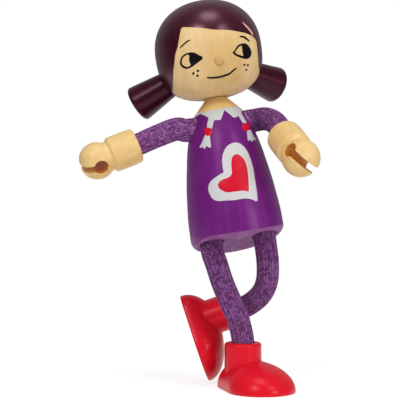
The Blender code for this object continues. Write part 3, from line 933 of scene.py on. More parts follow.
@dataclass(frozen=True)
class Viewpoint:
    """Where the photograph was taken from, looking along +Y."""

    spot: Triple = (-11.94, -350.0, 52.5)
    focal_pixels: float = 1260.0
    sensor: float = 36.0

    def build(self) -> None:
        """Set up the camera."""
        lens = bpy.data.cameras.new("photo_camera")
        lens.sensor_width = self.sensor
        lens.lens = self.focal_pixels * self.sensor / PHOTO_SIZE
        lens.clip_start, lens.clip_end = 0.01, 20.0
        camera = bpy.data.objects.new("photo_camera", lens)
        camera.location = Vector(self.spot) * MM
        camera.rotation_euler = (math.pi / 2, 0.0, 0.0)
        bpy.context.scene.collection.objects.link(camera)
        bpy.context.scene.camera = camera

    def sight(self, u: float, v: float) -> Vector:
        """The direction in which a pixel lies."""
        middle = PHOTO_SIZE / 2
        return Vector(((u - middle) / self.focal_pixels, 1.0, (middle - v) / self.focal_pixels)).normalized()


VIEWPOINT = Viewpoint()


class Skin:
    """The outside of a turned piece, unrolled round its axis for marking out.

    A flat point lies in its own direction round the axis, as far from the middle as it
    is from the top along the profile, plus an offset.
    """

    SIDES = 180                         # faces round the surface that pixels are traced on
    AIMS = np.linspace(0.0, 0.6, 121)   # how far a missed pixel's aim may go to the middle
    REACH = 0.15                        # how far either way the profile's slope is read

    def __init__(self, place: Matrix, profile: Profile, offset: float) -> None:
        """Unroll a piece's outside.

        Args:
            place: The piece's place.
            profile: Its profile, from the top down.
            offset: How far from the middle the top is when flat.
        """
        self.place = place
        self.line = np.array(profile, float)
        self.offset = offset
        self.run = run_along(self.line)
        top, bottom = profile[0][1], profile[-1][1]
        points, faces = revolved([(0.0, top), *profile[1:-1], (0.0, bottom)], self.SIDES)
        self.tree = BVHTree.FromPolygons([place @ Vector(p) for p in points], faces)
        self.middle = place @ Vector((0.0, 0.0, (top + bottom) / 2))

    def flat(self, turn: float, down: float) -> Pair:
        """The flat point at an angle round the axis and a distance down the profile."""
        far = self.offset + down
        return (far * math.sin(turn), -far * math.cos(turn))

    def down_at(self, height: float) -> float:
        """How far down the profile a height is."""
        return float(np.interp(-height, -self.line[:, 1], self.run))

    def seen(self, u: float, v: float) -> Pair:
        """Find the point that a pixel shows, or the nearest one to it that the surface has.

        Args:
            u: The pixel, across.
            v: The pixel, down.

        Returns:
            The flat point.
        """
        eye = Vector(VIEWPOINT.spot)
        ahead = (self.middle - eye).normalized()
        aim = VIEWPOINT.sight(u, v)
        for share in self.AIMS:
            hit, _, _, _ = self.tree.ray_cast(eye, aim.lerp(ahead, share).normalized())
            if hit is not None:
                break
        spot = self.place.inverted() @ hit
        mark = np.array([math.hypot(spot.x, spot.y), spot.z])
        step = np.diff(self.line, axis=0)
        along = ((mark - self.line[:-1]) * step).sum(1) / np.maximum((step * step).sum(1), 1e-12)
        share = np.clip(along, 0, 1)
        gaps = np.linalg.norm(self.line[:-1] + step * share[:, None] - mark, axis=1)
        near = int(gaps.argmin())
        down = self.run[near] + share[near] * (self.run[near + 1] - self.run[near])
        return self.flat(math.atan2(spot.x, -spot.y), down)

    def traced(self, pixels: np.ndarray) -> np.ndarray:
        """The flat points of a line of pixels."""
        return np.array([self.seen(u, v) for u, v in pixels])

    def raised(self, marks: np.ndarray, lift: np.ndarray) -> np.ndarray:
        """Put flat points back on the surface, lifted off it.

        Args:
            marks: The flat points.
            lift: How far to lift each.

        Returns:
            The points, in the piece's place.
        """
        turn = np.arctan2(marks[:, 0], -marks[:, 1])
        down = np.linalg.norm(marks, axis=1) - self.offset
        radius, height = self.outline(down)
        slope_r, slope_z = self.outline(down + self.REACH) - self.outline(down - self.REACH)
        steep = np.hypot(slope_r, slope_z)
        radius = radius - lift * slope_z / steep
        height = height + lift * slope_r / steep
        return np.stack([radius * np.sin(turn), -radius * np.cos(turn), height], axis=1)

    def outline(self, down: np.ndarray) -> np.ndarray:
        """The profile's radii and heights at distances down it."""
        return np.stack([np.interp(down, self.run, self.line[:, part]) for part in (0, 1)])


@dataclass(frozen=True)
class PaintLayer:
    """A closed film of paint on a skin, from a flat outline."""

    name: str
    skin: Skin
    finish: Finish
    body: str
    slot: str
    lift: float = 0.045
    sink: float = 0.03
    spacing: float = 0.55

    RIM = 0.45             # the rim's height, as a share of the film's

    def laid(
        self, outline: np.ndarray, grid: np.ndarray | None = None, holes: Sequence[np.ndarray] = (),
    ) -> None:
        """Lay the film inside an outline and put it on its body.

        Args:
            outline: The flat outline, in order, either way round.
            grid: Flat points to mesh the inside with; a plain grid without it.
            holes: Flat outlines of places that stay bare.
        """
        loops = [outline if signed_area(outline) > 0 else outline[::-1], *holes]
        grid = self.grid(loops[0]) if grid is None else grid
        keep = within(grid, loops[0])
        for hole in holes:
            keep &= ~within(grid, hole)
        for point in np.concatenate(loops):
            keep &= np.linalg.norm(grid - point, axis=1) > self.spacing * 0.55
        starts = np.cumsum([0] + [len(loop) for loop in loops])
        rings = [list(range(a, b)) for a, b in zip(starts, starts[1:])]
        ties = [(a, b) for ring in rings[1:] for a, b in zip(ring, ring[1:] + ring[:1])]
        marks = [Vector(p) for p in np.concatenate([*loops, grid[keep]])]
        flat, _, faces, *_ = delaunay_2d_cdt(marks, ties, [rings[0]], 1, 1e-6)
        marks = np.array(flat)
        for hole in holes:
            bare = within(np.array([marks[face].mean(axis=0) for face in faces]), hole)
            faces = [face for face, inside in zip(faces, bare) if not inside]
        settle(self.film(marks, faces), self.body, self.slot)

    def film(self, marks: np.ndarray, faces: Sequence[Sequence[int]]) -> bpy.types.Object:
        """Close flat faces into a film with a rounded rim.

        Args:
            marks: The flat points.
            faces: The faces between them.

        Returns:
            The film, in its place.
        """
        sides = {(a, b) for face in faces for a, b in zip(face, face[1:] + face[:1])}
        borders = sorted((a, b) for a, b in sides if (b, a) not in sides)
        used = sorted({v for face in faces for v in face})
        number = {v: i for i, v in enumerate(used)}
        count = len(used)
        lift = np.full(len(marks), self.lift)
        lift[[a for a, _ in borders]] *= self.RIM
        high = self.skin.raised(marks[used], lift[used])
        low = self.skin.raised(marks[used], np.full(count, -self.sink))
        solid = [tuple(number[v] for v in face) for face in faces]
        solid += [tuple(number[v] + count for v in reversed(face)) for face in faces]
        solid += [(number[a], number[a] + count, number[b] + count, number[b]) for a, b in borders]
        piece = Workpiece(self.name, np.concatenate([high, low]), solid, self.skin.place)
        return piece.hand_over([self.finish], crease=50.0)

    def grid(self, edge: np.ndarray) -> np.ndarray:
        """Lay a staggered grid over an outline's box.

        Args:
            edge: The outline.

        Returns:
            The grid's points.
        """
        low, high = edge.min(0), edge.max(0)
        rows = np.arange(low[1], high[1], self.spacing * 0.87)
        columns = np.arange(low[0], high[0], self.spacing)
        return np.array([(x + (j % 2) * self.spacing / 2, y) for j, y in enumerate(rows) for x in columns])


def within(points: np.ndarray, loop: np.ndarray) -> np.ndarray:
    """Which points lie inside a loop.

    Args:
        points: Flat points.
        loop: A closed outline.

    Returns:
        One truth for each point.
    """
    inside = np.zeros(len(points), bool)
    for (ax, ay), (bx, by) in zip(loop, np.roll(loop, -1, axis=0)):
        if ay != by:
            level = (points[:, 1] > min(ay, by)) & (points[:, 1] <= max(ay, by))
            inside ^= level & (points[:, 0] < ax + (points[:, 1] - ay) / (by - ay) * (bx - ax))
    return inside


def signed_area(loop: np.ndarray) -> float:
    """A loop's area, negative if it runs clockwise."""
    after = np.roll(loop, -1, axis=0)
    return float(0.5 * np.sum(loop[:, 0] * after[:, 1] - after[:, 0] * loop[:, 1]))


# Sub-assemblies

@dataclass
class Head:
    """The turned head with its hair lacquer, painted face, nose peg and pigtails."""

    body: Body
    radius: float = 14.8
    rise: float = 14.0
    drop: float = 13.4
    crown_power: float = 2.2
    chin_power: float = 2.7
    seat_radius: float = 4.0
    tail_length: float = 10.0
    tail_inner: float = 3.9
    tail_outer: float = 5.25
    tail_round: float = 0.9
    tail_clear: float = 0.17
    tail_swell: float = 0.02
    tail_angle: float = math.radians(116.0)
    tail_drop: float = 7.4
    tail_droop: float = math.radians(21.5)
    pin_radius: float = 1.25
    pin_length: float = 8.0
    nose_drop: float = 4.9
    nose_aside: float = math.radians(-2.0)
    nose_radius: float = 1.18
    stem_radius: float = 0.6
    stem_length: float = 3.2
    nape_sweep: float = math.radians(34.0)
    nape_rise: float = 4.9
    place: Matrix = field(default_factory=STANCE.head)
    skin: Skin = field(init=False)

    HAIRLINE = [            # the hair's edge round the face, in pixels
        [(172.9, 90.0), (173.1, 78.0), (173.6, 69.5), (174.5, 62.0), (175.1, 56.0), (175.8, 52.6),
         (177.6, 47.0), (178.9, 40.0), (180.1, 33.3), (181.2, 28.6)],
        [(181.2, 28.6), (182.6, 27.3), (190.8, 27.3), (200.0, 27.8), (207.0, 28.6), (213.0, 29.5),
         (225.0, 29.8), (232.0, 30.4), (240.0, 32.0), (245.0, 32.9), (250.0, 35.0), (252.8, 36.6)],
        [(252.8, 36.6), (255.8, 40.0), (257.0, 46.0), (257.6, 52.0), (258.3, 59.5), (258.6, 69.5)],
    ]
    SLIDE = (               # points and widths of the stroke of the hair slide
        [(239.1, 20.1), (242.5, 22.7), (245.8, 25.7), (248.8, 29.0), (251.3, 32.4), (252.7, 35.0)],
        [0.8, 1.5, 2.0, 2.2, 2.0, 1.4],
    )
    EYES = {                # the black's edge, then the white's
        "right": (
            [[(202.9, 58.3), (202.0, 56.5), (198.9, 55.1), (195.1, 52.9), (190.8, 52.3), (186.4, 53.3),
              (182.9, 55.4), (180.8, 58.3), (180.0, 62.0), (180.4, 65.1), (182.3, 67.3), (185.4, 68.8),
              (188.9, 68.4), (193.3, 66.1), (198.3, 62.3), (201.7, 59.8), (202.9, 58.3)]],
            [[(190.8, 64.8), (188.9, 66.5), (186.1, 66.7), (183.6, 65.6), (182.1, 63.9), (181.9, 61.4),
              (182.6, 58.6), (184.8, 56.1), (187.3, 54.8), (189.0, 55.0)],
             [(189.0, 55.0), (189.2, 57.0), (189.0, 59.5), (189.5, 62.0), (190.8, 64.8)]],
        ),
        "left": (
            [[(232.1, 52.5), (234.5, 50.4), (236.4, 47.0), (238.9, 44.6), (242.6, 43.4), (246.4, 43.9),
              (249.2, 46.7), (250.9, 50.1), (251.4, 53.9), (250.4, 56.7), (247.9, 58.8), (244.5, 58.9),
              (240.1, 57.6), (236.4, 56.1), (233.6, 54.2), (232.1, 52.5)]],
            [[(241.4, 45.4), (241.9, 47.0), (242.3, 50.8), (242.9, 53.9), (243.3, 56.1)],
             [(243.3, 56.1), (240.1, 55.1), (237.0, 54.0), (235.1, 52.3)],
             [(235.1, 52.3), (237.0, 49.5), (238.9, 47.0), (241.4, 45.4)]],
        ),
    }
    STROKES = {             # points, widths and the step of the outline
        "right_brow": (
            [(180.3, 47.6), (182.3, 45.6), (184.8, 43.4), (187.3, 41.4), (189.8, 40.3)],
            [1.1, 1.4, 1.5, 1.5, 1.2], 0.4,
        ),
        "left_brow": (
            [(240.1, 36.5), (242.6, 36.7), (245.8, 38.3), (248.9, 40.8)],
            [1.5, 1.9, 2.0, 1.5], 0.4,
        ),
        "smile": (
            [(207.5, 77.6), (210.8, 77.8), (215.8, 77.6), (220.1, 76.9), (225.1, 75.4), (229.5, 73.6),
             (232.6, 71.1), (236.1, 68.3)],
            [1.5, 2.0, 2.1, 2.1, 2.1, 2.0, 1.8, 1.4], 0.45,
        ),
    }
    FRECKLES = (            # middles and radii
        (197.9, 70.9, 1.3), (193.4, 73.4, 1.35), (197.5, 75.6, 1.3), (244.4, 64.8, 1.1), (247.8, 65.1, 1.1),
        (246.3, 69.9, 1.05),
    )

    def __post_init__(self) -> None:
        """Mark out the head's own surface."""
        self.skin = Skin(self.place, self.profile(), 0.0)

    def radius_at(self, height: float) -> float:
        """The head's radius at a height from its equator."""
        reach, power = (self.rise, self.crown_power) if height > 0 else (self.drop, self.chin_power)
        return self.radius * max(0.0, 1.0 - (abs(height) / reach) ** power) ** (1.0 / power)

    def profile(self) -> Profile:
        """Draw the head's outline.

        Returns:
            The outline, from crown to underside.
        """
        turns = [math.pi / 2 * i / 60 for i in range(61)]
        crown = [self.rise * math.cos(a) for a in turns]
        chin = [-self.drop * math.sin(a) for a in turns[1:]]
        fine = [(self.radius_at(z), z) for z in crown + chin]
        fine[0], fine[-1] = (0.0, self.rise), (0.0, -self.drop)
        return fine

    def tail_place(self, side: int) -> Matrix:
        """Place a pigtail: Z out along it, from where its axis meets the head.

        Args:
            side: Minus one for the right, one for the left.

        Returns:
            The place.
        """
        aside = Vector((side * math.sin(self.tail_angle), -math.cos(self.tail_angle), 0.0))
        seat = aside * self.radius_at(-self.tail_drop) + Vector((0.0, 0.0, -self.tail_drop))
        out = aside * math.cos(self.tail_droop) + Vector((0.0, 0.0, -math.sin(self.tail_droop)))
        turn = self.place.to_3x3()
        return reaching(self.place @ seat, turn @ out, turn @ Vector((0.0, 0.0, 1.0)))

    def nose_place(self) -> Matrix:
        """Place the nose, with Z out of the face.

        Returns:
            The place.
        """
        base = self.place @ Matrix.Rotation(self.nose_aside, 4, "Z")
        origin = base @ Vector((0.0, -self.radius_at(-self.nose_drop), -self.nose_drop))
        turn = base.to_3x3()
        return reaching(origin, turn @ Vector((0.0, -1.0, -0.06)), turn @ Vector((0.0, 0.0, 1.0)))

    def build(self) -> None:
        """Make every piece of the head and put it on its body."""
        self.turn_head()
        self.paint_hair()
        self.paint_face()
        self.fit_nose()
        for name, side in (("right", -1), ("left", 1)):
            self.fit_pigtail(name, side)

    def turn_head(self) -> None:
        """Turn the bare head and drill it for the neck, pins and nose."""
        head = Workpiece.turned("head_turned", self.profile(), 160, self.place)
        neck, tenon = self.body.neck_height + CLEARANCE, self.body.tenon_radius + CLEARANCE
        head.bore(self.body.place, self.seat_radius, 30.0, neck)
        head.bore(self.body.place, tenon, 30.0, neck + self.body.tenon_length)
        for side in (-1, 1):
            inner = -self.pin_length / 2 - CLEARANCE
            head.bore(self.tail_place(side), self.pin_radius + CLEARANCE, inner, 8.0)
        head.bore(self.nose_place(), self.stem_radius + CLEARANCE, -self.stem_length - CLEARANCE, 4.0)
        settle(head.hand_over([Finish.MAPLE], crease=30.0), "head", "bare_maple", "head")

    def window(self) -> np.ndarray:
        """Mark out the edge of the face that the hair leaves bare.

        Returns:
            The edge, flat, from its lower left to its lower right.
        """
        marks = self.skin.traced(linked(self.HAIRLINE, 1.4))
        end = self.skin.run[-1] - self.nape_rise
        sides = []
        for mark, sweep in ((marks[0], -self.nape_sweep), (marks[-1], self.nape_sweep)):
            down, turn = math.hypot(*mark), math.atan2(mark[0], -mark[1])
            side = []
            for share in np.linspace(0.0, 1.0, 40)[1:]:
                swung = turn + sweep * math.sin(math.pi / 2 * share) ** 0.6
                side.append(self.skin.flat(swung, down + (end - down) * share))
            sides.append(side)
        return np.concatenate([sides[0][::-1], marks, sides[1]])

    def paint_hair(self) -> None:
        """Lay the hair lacquer over all but the face, and the slide in it."""
        window = self.window()
        end = float(np.linalg.norm(window[0]))
        left, right = (math.atan2(x, -y) for x, y in (window[0], window[-1]))
        back = [self.skin.flat(a, end) for a in np.linspace(right, left + math.tau, 150)[1:-1]]
        rows = []
        down = 0.35
        while down < end:
            gap = 0.62 if down < 24 else 0.9        # coarser under the equator
            count = max(8, round(math.tau * down / gap))
            turns = (np.arange(count) + 0.5 * (len(rows) % 2)) * math.tau / count
            rows.append(np.stack([down * np.sin(turns), -down * np.cos(turns)], axis=1))
            down += 0.6
        film = PaintLayer("hair_paint", self.skin, Finish.HAIR, "head", "hair_lacquer", lift=0.06, sink=0.04)
        film.laid(np.concatenate([window, back]), np.concatenate(rows))
        slide = stroke_loop(*self.SLIDE, 0.45)
        self.paint("hair_ribbon_line", slide, Finish.PINK, lift=0.085, slot="hair_lacquer")

    def paint(
        self, name: str, pixels: np.ndarray, finish: Finish = Finish.BLACK, lift: float = 0.045,
        slot: str = "bare_maple", holes: Sequence[np.ndarray] = (),
    ) -> None:
        """Paint one detail on the head.

        Args:
            name: The film's name.
            pixels: Its outline.
            finish: Its finish.
            lift: How thick it is.
            slot: Its material slot.
            holes: Outlines of bare places in it, in pixels too.
        """
        film = PaintLayer(name, self.skin, finish, "head", slot, lift=lift, spacing=0.42)
        film.laid(self.skin.traced(pixels), holes=[self.skin.traced(hole) for hole in holes])

    def paint_face(self) -> None:
        """Paint the eyes, brows, smile and freckles."""
        for side, (black, white) in self.EYES.items():
            self.paint(f"{side}_eye_paint", linked(black, 0.5), holes=[linked(white, 0.5)])
        for name, (points, widths, step) in self.STROKES.items():
            self.paint(f"{name}_paint", stroke_loop(points, widths, step))
        for index, (u, v, size) in enumerate(self.FRECKLES, 1):
            self.paint(f"freckle_{index}_paint", dot_loop((u, v), size, size, 16))

    def fit_nose(self) -> None:
        """Turn the round-headed nose peg and push it in."""
        rim, low, dip = self.nose_radius, 0.22, 0.46
        turns = np.linspace(0, math.pi / 2, 9)
        stem = [(0.0, -self.stem_length), (self.stem_radius, -self.stem_length), (self.stem_radius, 0.02)]
        edge = [(rim - 0.10, 0.02), (rim - 0.02, 0.1)]
        edge += [(rim - 0.34 + 0.34 * math.cos(a), low + 0.36 * math.sin(a)) for a in turns]
        ring = [(rim - 0.48, low + 0.33), (rim - 0.58, dip), (rim - 0.72, dip), (rim - 0.84, dip + 0.11)]
        middle = [(0.12, dip + 0.17), (0.0, dip + 0.17)]
        peg = Workpiece.turned("nose_peg_turned", stem + edge + ring + middle, 56, self.nose_place())
        settle(peg.hand_over([Finish.NOSE], crease=50.0), "head", "peg_wood", "nose_peg")

    def tail_seat(self, place: Matrix, radius: float, turn: float) -> float:
        """Find how high over a pigtail's own plane the head is, with the clearance between them.

        Args:
            place: The pigtail's place.
            radius: How far off its axis to look.
            turn: At what angle round it.

        Returns:
            The height.
        """
        out = (place.to_3x3() @ Vector((0.0, 0.0, 1.0))).normalized()
        hit, _, _, _ = self.skin.tree.ray_cast(place @ Vector(around(radius, turn, 6.0)), -out)
        return (place.inverted() @ hit).z + self.tail_clear

    def tail_rings(self, place: Matrix) -> list[list[Triple]]:
        """Lay out the rings of a pigtail's mesh.

        Args:
            place: The pigtail's place.

        Returns:
            The rings, from the middle of the hollow end that the head fits to the middle of the outer end.
        """
        turns = [math.tau * k / 96 for k in range(96)]
        taper = (self.tail_outer - self.tail_inner) / self.tail_length
        rings = []
        for share in (0.42, 0.6, 0.75, 0.88, 0.96, 1.0):
            ring = []
            for turn in turns:
                radius = self.tail_inner * share
                for _ in range(4):
                    height = self.tail_seat(place, radius, turn)
                    radius = (self.tail_inner + taper * height) * share
                ring.append(around(radius, turn, height))
            rings.append(ring)
        top = self.tail_length - self.tail_round
        rim = [height for _, _, height in rings[-1]]
        for share in (0.03, 0.1, 0.3, 0.5, 0.7, 0.9, 0.98):
            heights = [low + (top - low) * share for low in rim]
            rings.append([around(self.tail_inner + taper * h, a, h) for a, h in zip(turns, heights)])
        flat = self.tail_outer - taper * self.tail_round - self.tail_round
        cap = arc((flat, top), self.tail_round, 0.0, 90.0, 10)
        cap += [(flat - inward, self.tail_length + self.tail_swell) for inward in (1.0, 2.2, 3.2)]
        return rings + [[around(radius, a, height) for a in turns] for radius, height in cap]

    def fit_pigtail(self, name: str, side: int) -> None:
        """Turn a pigtail, hollow its inner end to the head, and pin it on.

        Args:
            name: Right or left.
            side: Minus one for the right, one for the left.
        """
        place = self.tail_place(side)
        inner, outer = self.tail_seat(place, 0.0, 0.0), self.tail_length + self.tail_swell
        points, faces = lofted((0.0, 0.0, inner), self.tail_rings(place), (0.0, 0.0, outer))
        tail = Workpiece(f"{name}_pigtail_turned", points, faces, place)
        half, bevel = self.pin_length / 2, 0.25
        tail.bore(place, self.pin_radius + CLEARANCE, -6.0, half + CLEARANCE)
        settle(tail.hand_over([Finish.TAIL], crease=40.0), "head", "hair_lacquer", f"{name}_pigtail")
        profile = [(0.0, -half), (self.pin_radius - bevel, -half), (self.pin_radius, bevel - half)]
        profile += [(self.pin_radius, half - bevel), (self.pin_radius - bevel, half), (0.0, half)]
        pin = Workpiece.turned(f"{name}_pigtail_dowel", profile, 40, place)
        settle(pin.hand_over([Finish.PEG]), "head", "peg_wood", f"{name}_pigtail_pin")


@dataclass
class Body:
    """The turned body with its neck and tenon, and the paint on it."""

    hem_radius: float = 13.1
    hem_round: float = 1.7
    slant: float = math.radians(17.0)
    neck_radius: float = 3.25
    neck_height: float = 39.55
    tenon_radius: float = 2.25
    tenon_length: float = 8.0
    arm_bore_height: float = 32.05
    leg_bore_offset: float = 7.5
    leg_bore_depth: float = 9.0
    bore_radius: float = 3.5
    collar_height: float = 36.05
    collar_back: float = 35.1
    place: Matrix = field(default_factory=STANCE.body)
    skin: Skin = field(init=False)

    COLLAR_FRONT = [
        [(197.0, 116.3), (200.0, 114.2), (204.5, 115.6), (208.3, 117.6)],
        [(208.3, 117.6), (208.2, 119.4), (207.2, 124.0), (206.9, 128.3)],
        [(206.9, 128.3), (212.2, 128.4)],
        [(212.2, 128.4), (213.3, 123.0), (214.4, 119.9)],
        [(214.4, 119.9), (217.5, 120.0), (220.7, 119.8)],
        [(220.7, 119.8), (222.4, 115.5), (224.3, 110.0)],
        [(224.3, 110.0), (229.0, 113.6), (233.2, 117.4)],
        [(233.2, 117.4), (236.2, 117.2), (238.4, 115.8)],
        [(238.4, 115.8), (240.6, 119.5), (242.9, 123.2)],
        [(242.9, 123.2), (246.9, 122.6)],
        [(246.9, 122.6), (243.7, 117.5), (241.2, 113.0)],
        [(241.2, 113.0), (241.9, 110.6)],
    ]
    # middles, half widths and half heights
    BEADS = {"right": ((208.2, 131.6), 4.3, 4.3), "left": ((245.9, 126.9), 4.2, 4.0)}
    TASSELS = {
        "right": [
            [(205.4, 134.6), (203.9, 138.0), (201.7, 143.0), (199.5, 147.2)],
            [(199.5, 147.2), (200.8, 147.9), (202.6, 146.2)],
            [(202.6, 146.2), (203.4, 148.2), (204.5, 148.9), (205.6, 147.4), (206.6, 145.9)],
            [(206.6, 145.9), (208.3, 147.2), (210.4, 147.6), (211.2, 146.3)],
            [(211.2, 146.3), (210.4, 141.5), (210.0, 137.0), (209.8, 134.6)],
            [(209.8, 134.6), (205.4, 134.6)],
        ],
        "left": [
            [(247.1, 130.3), (247.2, 134.5), (247.7, 139.6)],
            [(247.7, 139.6), (248.5, 141.0), (249.6, 139.4)],
            [(249.6, 139.4), (250.6, 140.3), (252.2, 141.9), (252.9, 139.6)],
            [(252.9, 139.6), (254.6, 140.2), (255.8, 139.8)],
            [(255.8, 139.8), (253.4, 135.5), (250.6, 129.9)],
            [(250.6, 129.9), (247.1, 130.3)],
        ],
    }
    WHITE_HEART = [
        [(257.7, 200.4), (256.0, 201.3), (252.0, 199.4), (247.0, 198.4), (241.0, 198.9), (234.7, 200.1),
         (226.0, 200.5), (217.0, 200.9), (212.5, 198.6), (209.6, 194.0), (208.3, 189.3), (208.9, 184.8),
         (211.2, 181.0), (216.0, 177.0), (223.7, 172.2)],
        [(223.7, 172.2), (222.6, 166.5), (222.2, 160.0), (223.2, 153.5), (226.0, 147.6), (230.2, 144.0),
         (235.7, 142.6), (241.0, 144.2), (246.2, 149.6), (250.6, 159.0), (253.2, 168.5), (255.2, 181.0),
         (256.8, 191.5), (257.7, 200.4)],
    ]
    RED_HEART = [
        [(249.0, 191.9), (242.8, 190.9), (235.0, 191.8), (227.5, 192.5), (222.4, 190.9), (219.0, 188.0),
         (217.9, 185.3), (219.2, 182.0), (222.8, 179.2), (227.6, 177.6), (230.6, 175.6), (231.8, 173.2)],
        [(231.8, 173.2), (231.4, 168.0), (231.2, 162.0), (232.4, 156.6), (236.4, 154.0), (241.0, 156.0),
         (244.8, 161.0), (247.2, 168.7), (248.3, 178.0), (249.0, 191.9)],
    ]

    def __post_init__(self) -> None:
        """Mark out the body's own surface, from the neck's top to the hem."""
        self.skin = Skin(self.place, list(reversed(self.side())), 4.0)

    def side(self) -> Profile:
        """Draw the body's outline.

        Returns:
            The outline, from the hem's rounding up to the neck's top.
        """
        skirt = [
            (self.hem_radius, self.hem_round), (12.95, 6.9), (12.55, 11.0), (12.1, 15.0), (11.6, 18.3),
            (11.0, 21.7), (10.35, 25.2), (9.6, 28.2), (8.7, 30.8), (7.55, 33.4), (6.55, 35.65),
        ]
        throat = [
            (6.55, 35.65), (6.1, 36.1), (5.3, 37.1), (4.55, 37.9), (3.85, 38.6), (3.4, 39.15),
            (self.neck_radius, self.neck_height),
        ]
        return [tuple(point) for point in (*smooth_line(skirt, 0.5)[:-1], *smooth_line(throat, 0.3))]

    def build(self) -> None:
        """Make the body and its paint, and put them on the torso."""
        hem = arc((self.hem_radius - self.hem_round, self.hem_round), self.hem_round, -90.0, 0.0, 12)
        base = [(radius, 0.0) for radius in (0.0, 2.0, 4.0, 6.0, 8.0, 10.0, 11.0)]
        thick, top = self.tenon_radius, self.neck_height + self.tenon_length
        tenon = [(thick, self.neck_height), (thick, top - 0.4), (thick - 0.4, top), (0.0, top)]
        body = Workpiece.turned("body_turned", base + hem + self.side()[1:] + tenon, 160, self.place)
        for vertex in body.thing.data.vertices:
            if vertex.co.z < self.hem_round + 0.01:
                vertex.co.z -= vertex.co.y * math.tan(self.slant)
        lift = Matrix.Translation((0, 0, self.arm_bore_height))
        body.bore(self.place @ lift @ Matrix.Rotation(math.pi / 2, 4, "Y"), self.bore_radius, -20.0, 20.0)
        for side in (-1, 1):
            leg = self.place @ Matrix.Translation((side * self.leg_bore_offset, 0, 0))
            body.bore(leg, self.bore_radius, -12.0, self.leg_bore_depth)
        finishes = [Finish.DRESS, Finish.NECK_MAPLE, Finish.UNDER, Finish.BORE]
        made = body.hand_over(finishes, self.finish_numbers, crease=32.0)
        settle(made, "torso", "dress_lacquer", "body")
        self.paint_collar()
        self.paint_heart()

    def finish_numbers(self, middles: np.ndarray, normals: np.ndarray) -> np.ndarray:
        """Number each face's finish: the dress, the bare neck, the thin wash underneath, or a bore.

        Args:
            middles: The faces' middles.
            normals: The way that each faces.

        Returns:
            The place of each face's finish in the body's list.
        """
        x, y, z = middles.T
        chosen = np.zeros(len(middles), int)
        chosen[z > self.collar_height] = 1
        chosen[(normals[:, 2] < -0.9) & (z < 6.0)] = 2
        wide = self.bore_radius + 0.02
        bored = np.hypot(y, z - self.arm_bore_height) < wide
        for side in (-1, 1):
            bored |= (np.hypot(x - side * self.leg_bore_offset, y) < wide) & (z < self.leg_bore_depth + 0.2)
        chosen[bored] = 3
        return chosen

    def paint(
        self, name: str, marks: np.ndarray, finish: Finish, lift: float = 0.05, spacing: float = 0.6,
        holes: Sequence[np.ndarray] = (),
    ) -> None:
        """Paint one detail on the body.

        Args:
            name: The film's name.
            marks: Its flat outline.
            finish: Its finish.
            lift: How thick it is.
            spacing: How fine its mesh is.
            holes: Flat outlines of bare places in it.
        """
        film = PaintLayer(name, self.skin, finish, "torso", "dress_lacquer", lift=lift, spacing=spacing)
        film.laid(marks, holes=holes)

    def paint_collar(self) -> None:
        """Paint the collar all round, and the strings' beads and tassels under its lapels."""
        corner = np.array([self.COLLAR_FRONT[-1][-1]])
        marks = self.skin.traced(np.concatenate([linked(self.COLLAR_FRONT, 0.6), corner]))
        turns = [math.atan2(x, -y) for x, y in (marks[0], marks[-1])]
        downs = [math.hypot(x, y) - self.skin.offset for x, y in (marks[0], marks[-1])]
        low = self.skin.down_at(self.collar_back)
        behind = []
        angles = np.linspace(turns[1], turns[0] + math.tau, 120)
        for share, angle in zip(np.linspace(0, 1, 120), angles):
            end = downs[1] if share < 0.5 else downs[0]
            behind.append(self.skin.flat(angle, end + (low - end) * min(1.0, 6.0 * min(share, 1.0 - share))))
        outer = np.concatenate([marks, behind[1:-1]])
        level = self.skin.down_at(self.collar_height + 0.12)
        inner = np.array([self.skin.flat(a, level) for a in np.linspace(0, math.tau, 121)[:-1]])
        self.paint("collar_paint", outer, Finish.WHITE, lift=0.09, holes=[inner], spacing=0.35)
        for side, (middle, wide, tall) in self.BEADS.items():
            dot = dot_loop(middle, wide, tall, 32)
            self.paint(f"{side}_bead_paint", self.skin.traced(dot), Finish.RED, lift=0.11)
        for side, runs in self.TASSELS.items():
            self.paint(f"{side}_tassel_paint", self.skin.traced(linked(runs, 0.5)), Finish.WHITE)

    def paint_heart(self) -> None:
        """Paint the white heart and the red one in it."""
        self.paint("heart_white_paint", self.skin.traced(linked(self.WHITE_HEART, 0.7)), Finish.WHITE)
        self.paint("heart_red_paint", self.skin.traced(linked(self.RED_HEART, 0.7)), Finish.RED, lift=0.10)


